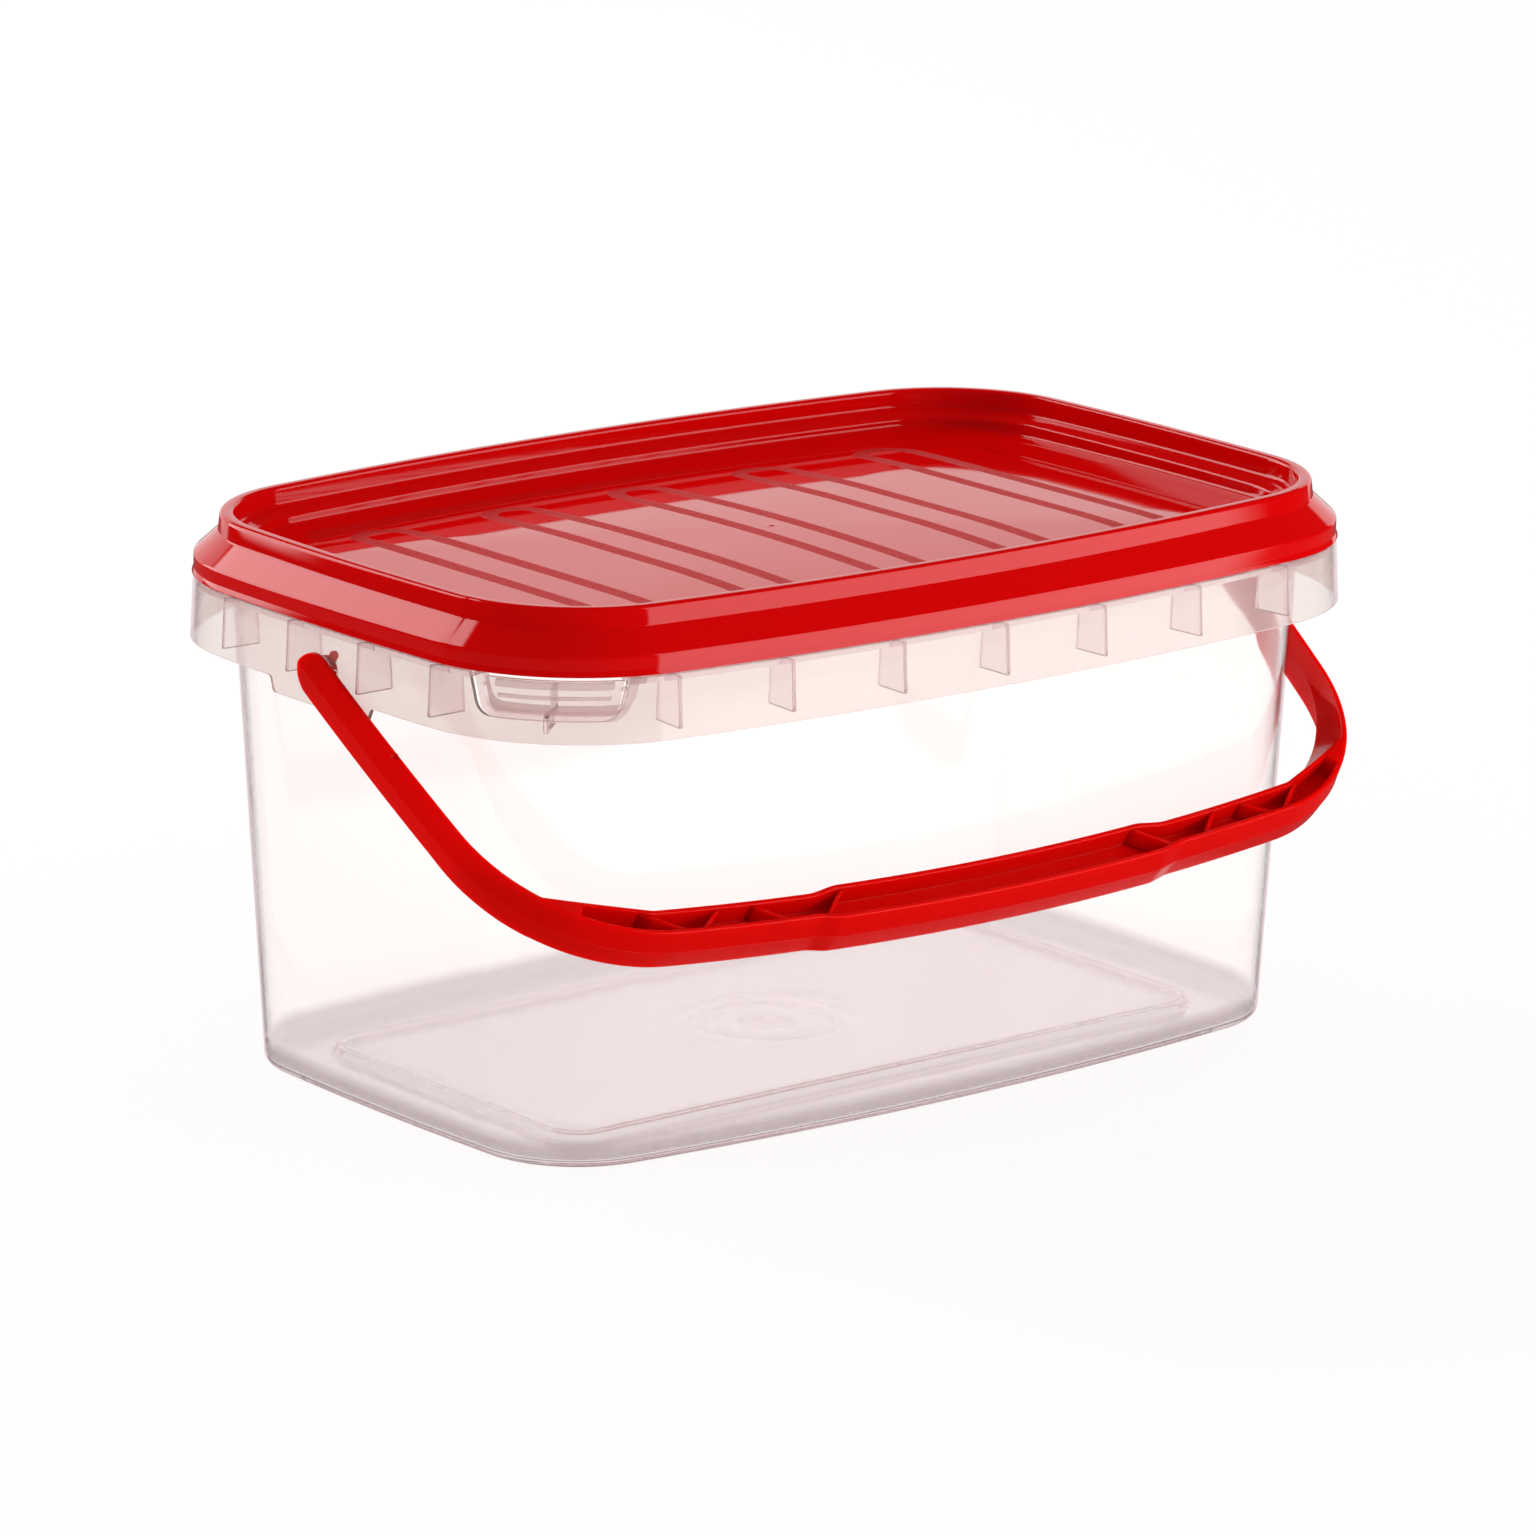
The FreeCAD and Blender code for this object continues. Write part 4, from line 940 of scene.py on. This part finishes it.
def makeStuds():
    # on each side a turned stud with a collar, and a wing behind its end: a round-ended blade, square
    # to the arm, whose half circle is half * (cos, sin)
    b = bail
    parts = []
    root = b["halfSpan"] - b["armThick"] / 2
    stud = roundedSection((
        (b["studInner"], 0.02, 0), (b["studInner"], b["studRadius"], 0.35),
        (b["collarX"], b["studRadius"], 0.15), (b["collarX"], b["collarRadius"], 0.2),
        (root, b["collarRadius"], 0), (root, 0.02, 0)))
    half = b["wingWidth"] / 2
    angle = np.linspace(0, np.pi, 16)
    edge = np.column_stack([half * np.cos(angle), b["wingLength"] - half + half * np.sin(angle)])
    edge = np.concatenate([edge, [(-half, 1.0), (half, 1.0)]])
    slim = edge * [0.86, 1] - [0, 0.15]
    x0, x1 = b["studInner"], b["studInner"] + b["wingThick"]
    for side in (1, -1):
        rings = [np.column_stack([np.full(len(e), side * x), e])
                 for e, x in ((slim, x0), (edge, x0 + 0.15), (edge, x1 - 0.15), (slim, x1))]
        parts += [turned(stud, side), tubeOfRings(toRest(np.array(rings)))]
    return parts


def makeNub():
    # a small round nub on the left arm's upper edge: a turned half ellipse
    b = bail
    t = np.linspace(0.02, np.pi / 2, 9)
    angle = np.linspace(0, 2 * np.pi, 20, endpoint=False)
    r = b["nubRadius"] * np.sin(t)[:, None]
    h = b["armAbove"] - b["nubSunk"] + b["nubRise"] * np.cos(t)[:, None]
    arm = bailPath()[:40]
    x, s = arm[np.argmin(np.abs(arm[:, 1] - b["nubReach"])), :2]
    flat = np.stack([b["nubInset"] - x + r * np.cos(angle), s + r * np.sin(angle), h + 0 * angle], -1)
    return tubeOfRings(toRest(flat))


addPiece("bailFrame", [makeBailFrame()], "bail_body", bailMaterial, sharp=44,
         replaced="bail_handle")
addPiece("bailRibs", makeBailRibs(), "bail_body", bailMaterial)
addPiece("bailStuds", makeStuds() + [makeNub()], "bail_body", bailMaterial)
print("bail made")

view = {"azimuth": -38.735, "elevation": 14.607, "roll": 0.582, "distance": 1580.5, "aim": (-0.35, 0.0, 53.5),
        "sensor": 36.0, "lens": 190.58203}


def makeCamera():
    # the place and turn that the photograph was taken from: back = (sin a cos e, -cos a cos e, sin e),
    # right = -back x up, and both are then turned by the roll
    a, e, roll = np.radians([view["azimuth"], view["elevation"], view["roll"]])
    back = np.array([np.sin(a) * np.cos(e), -np.cos(a) * np.cos(e), np.sin(e)])
    right = np.cross(-back, [0, 0, 1.0])
    right /= np.linalg.norm(right)
    up = np.cross(right, -back)
    turnedRight = np.cos(roll) * right + np.sin(roll) * up
    turnedUp = -np.sin(roll) * right + np.cos(roll) * up
    camera = bpy.data.objects.new("camera", bpy.data.cameras.new("camera"))
    bpy.context.scene.collection.objects.link(camera)
    place = (np.array(view["aim"]) + back * view["distance"]) * mm
    matrix = Matrix([[turnedRight[i], turnedUp[i], back[i], place[i]] for i in range(3)] + [[0, 0, 0, 1]])
    camera.matrix_world = matrix
    camera.data.sensor_width, camera.data.lens = view["sensor"], view["lens"]
    camera.data.clip_start, camera.data.clip_end = 0.05, 40
    bpy.context.scene.camera = camera


studio = {
    # two lamps: place (m), size (m), power (W); and the middle of the part, which they aim at
    "rightBox": ((0.96, -1.23, 0.36), (1.0, 0.6), 15.0), "leftBox": ((-0.40, 1.51, 0.90), (0.9, 0.7), 18.0),
    "middle": (0, 0, 0.06),
    # strength of the light all round, of the white behind, of what is seen through the tub and within it
    "ambient": 0.68, "seen": 1.0, "through": 1.6, "within": 1.1,
    # glossy faces see a dark room over a dim table, with a pale backdrop and the two boxes: turn from
    # +Y and height in degrees, strength
    "room": 0.02, "table": 0.10, "tableHeights": (-12, -2), "softEdge": 1.5,
    "windows": {"backdrop": ((-8, 72), (-8, 24), 0.9), "right": ((127, 167), (-22, 34), 1.95),
                "left": ((-35, -7), (0, 50), 3.3)},
}


def makeLights():
    # each lamp's -Z axis points along middle - place
    for name in ("rightBox", "leftBox"):
        place, size, power = studio[name]
        lamp = bpy.data.lights.new(name, "AREA")
        lamp.shape, lamp.size, lamp.size_y, lamp.energy = "RECTANGLE", size[0], size[1], power
        made = bpy.data.objects.new(name, lamp)
        made.location = place
        made.rotation_euler = (Vector(studio["middle"]) - Vector(place)).to_track_quat("-Z", "Y").to_euler()
        made.visible_glossy = made.visible_transmission = made.visible_camera = False
        bpy.context.scene.collection.objects.link(made)


def makeWorld():
    # plain light all round; turn = atan2(x, y) and height = arcsine z place the windows in it
    world = bpy.data.worlds.new("studio")
    bpy.context.scene.world = world
    world.use_nodes = True
    world.cycles.sampling_method = "NONE"
    tree = world.node_tree
    tree.nodes.clear()
    rays = node(tree, "ShaderNodeLightPath").outputs
    place = node(tree, "ShaderNodeTexCoord").outputs["Generated"]
    way = node(tree, "ShaderNodeSeparateXYZ", Vector=place).outputs
    found = {"x": way["X"], "y": way["Y"], "z": way["Z"], "behind": rays["Transmission Depth"],
             "glossy": rays["Is Glossy Ray"]}
    for name, kind, a, b in (
            ("turn", "ARCTAN2", "x", "y"), ("turn", "DEGREES", "turn", 0), ("height", "ARCSINE", "z", 0),
            ("height", "DEGREES", "height", 0), ("inside", "GREATER_THAN", "behind", 0.5),
            ("inside", "MULTIPLY", "inside", "glossy")):
        found[name] = node(tree, "ShaderNodeMath", {"operation": kind}, i0=found.get(a, a),
                           i1=found.get(b, b)).outputs[0]
    low, high = studio["tableHeights"]
    glossy = node(tree, "ShaderNodeMapRange", {"interpolation_type": "SMOOTHSTEP"}, Value=found["height"],
                  From_Min=low, From_Max=high, To_Min=studio["table"], To_Max=studio["room"]).outputs[0]
    soft = studio["softEdge"]
    for turns, heights, strength in studio["windows"].values():
        share = strength
        for axis, edge, first, last in (
                ("turn", turns[0], 0, 1), ("turn", turns[1], 1, 0),
                ("height", heights[0], 0, 1), ("height", heights[1], 1, 0)):
            side = node(tree, "ShaderNodeMapRange", {"interpolation_type": "SMOOTHSTEP"}, Value=found[axis],
                        From_Min=edge - soft, From_Max=edge + soft, To_Min=first, To_Max=last).outputs[0]
            share = node(tree, "ShaderNodeMath", {"operation": "MULTIPLY"}, i0=side, i1=share).outputs[0]
        glossy = node(tree, "ShaderNodeMath", {"operation": "ADD"}, i0=glossy, i1=share).outputs[0]
    # glossy rays see the room, unless they met the tub's inside last or turned back within its wall
    strength = studio["ambient"]
    for share, value in (
            (found["glossy"], glossy), (found["inside"], studio["within"]),
            (rays["Is Transmission Ray"], studio["through"]), (rays["Is Camera Ray"], studio["seen"])):
        strength = node(tree, "ShaderNodeMix", {"data_type": "FLOAT"}, Factor=share, i2=strength,
                        i3=value).outputs[0]
    shader = node(tree, "ShaderNodeBackground", Color=(1, 1, 1, 1), Strength=strength)
    node(tree, "ShaderNodeOutputWorld", Surface=shader.outputs[0])


floorLook = {"half": 6.0, "level": -0.0002, "white": "#FCFBFA", "own": 0.13, "through": 1.2}


def makeFloor():
    # a plain pale square; where it is seen, shade = own * lit paper + (1 - own) * plain white
    h, z = floorLook["half"], floorLook["level"]
    mesh = bpy.data.meshes.new("floor")
    mesh.from_pydata([(-h, -h, z), (h, -h, z), (h, h, z), (-h, h, z)], [], [(0, 1, 2, 3)])
    floor = bpy.data.objects.new("floor", mesh)
    bpy.context.scene.collection.objects.link(floor)
    material, tree = newMaterial("studio paper")
    rays = node(tree, "ShaderNodeLightPath").outputs
    paper = node(tree, "ShaderNodeBsdfDiffuse", Color=linear(floorLook["white"]))
    bright = node(tree, "ShaderNodeMapRange", Value=rays["Is Transmission Ray"], To_Min=1.0,
                  To_Max=floorLook["through"]).outputs[0]
    white = node(tree, "ShaderNodeEmission", Color=(1, 1, 1, 1), Strength=bright)
    seen = node(tree, "ShaderNodeMath", {"operation": "MAXIMUM"}, i0=rays["Is Camera Ray"],
                i1=rays["Is Transmission Ray"]).outputs[0]
    share = node(tree, "ShaderNodeMath", {"operation": "MULTIPLY"}, i0=seen,
                 i1=1 - floorLook["own"]).outputs[0]
    mixed = node(tree, "ShaderNodeMixShader", i0=share, i1=paper.outputs[0], i2=white.outputs[0])
    node(tree, "ShaderNodeOutputMaterial", Surface=mixed.outputs[0])
    mesh.materials.append(material)
    floor.visible_glossy = False


makeCamera()
makeLights()
makeWorld()
makeFloor()
bpy.context.scene.view_settings.view_transform = "Standard"
print("camera, lights and floor made")
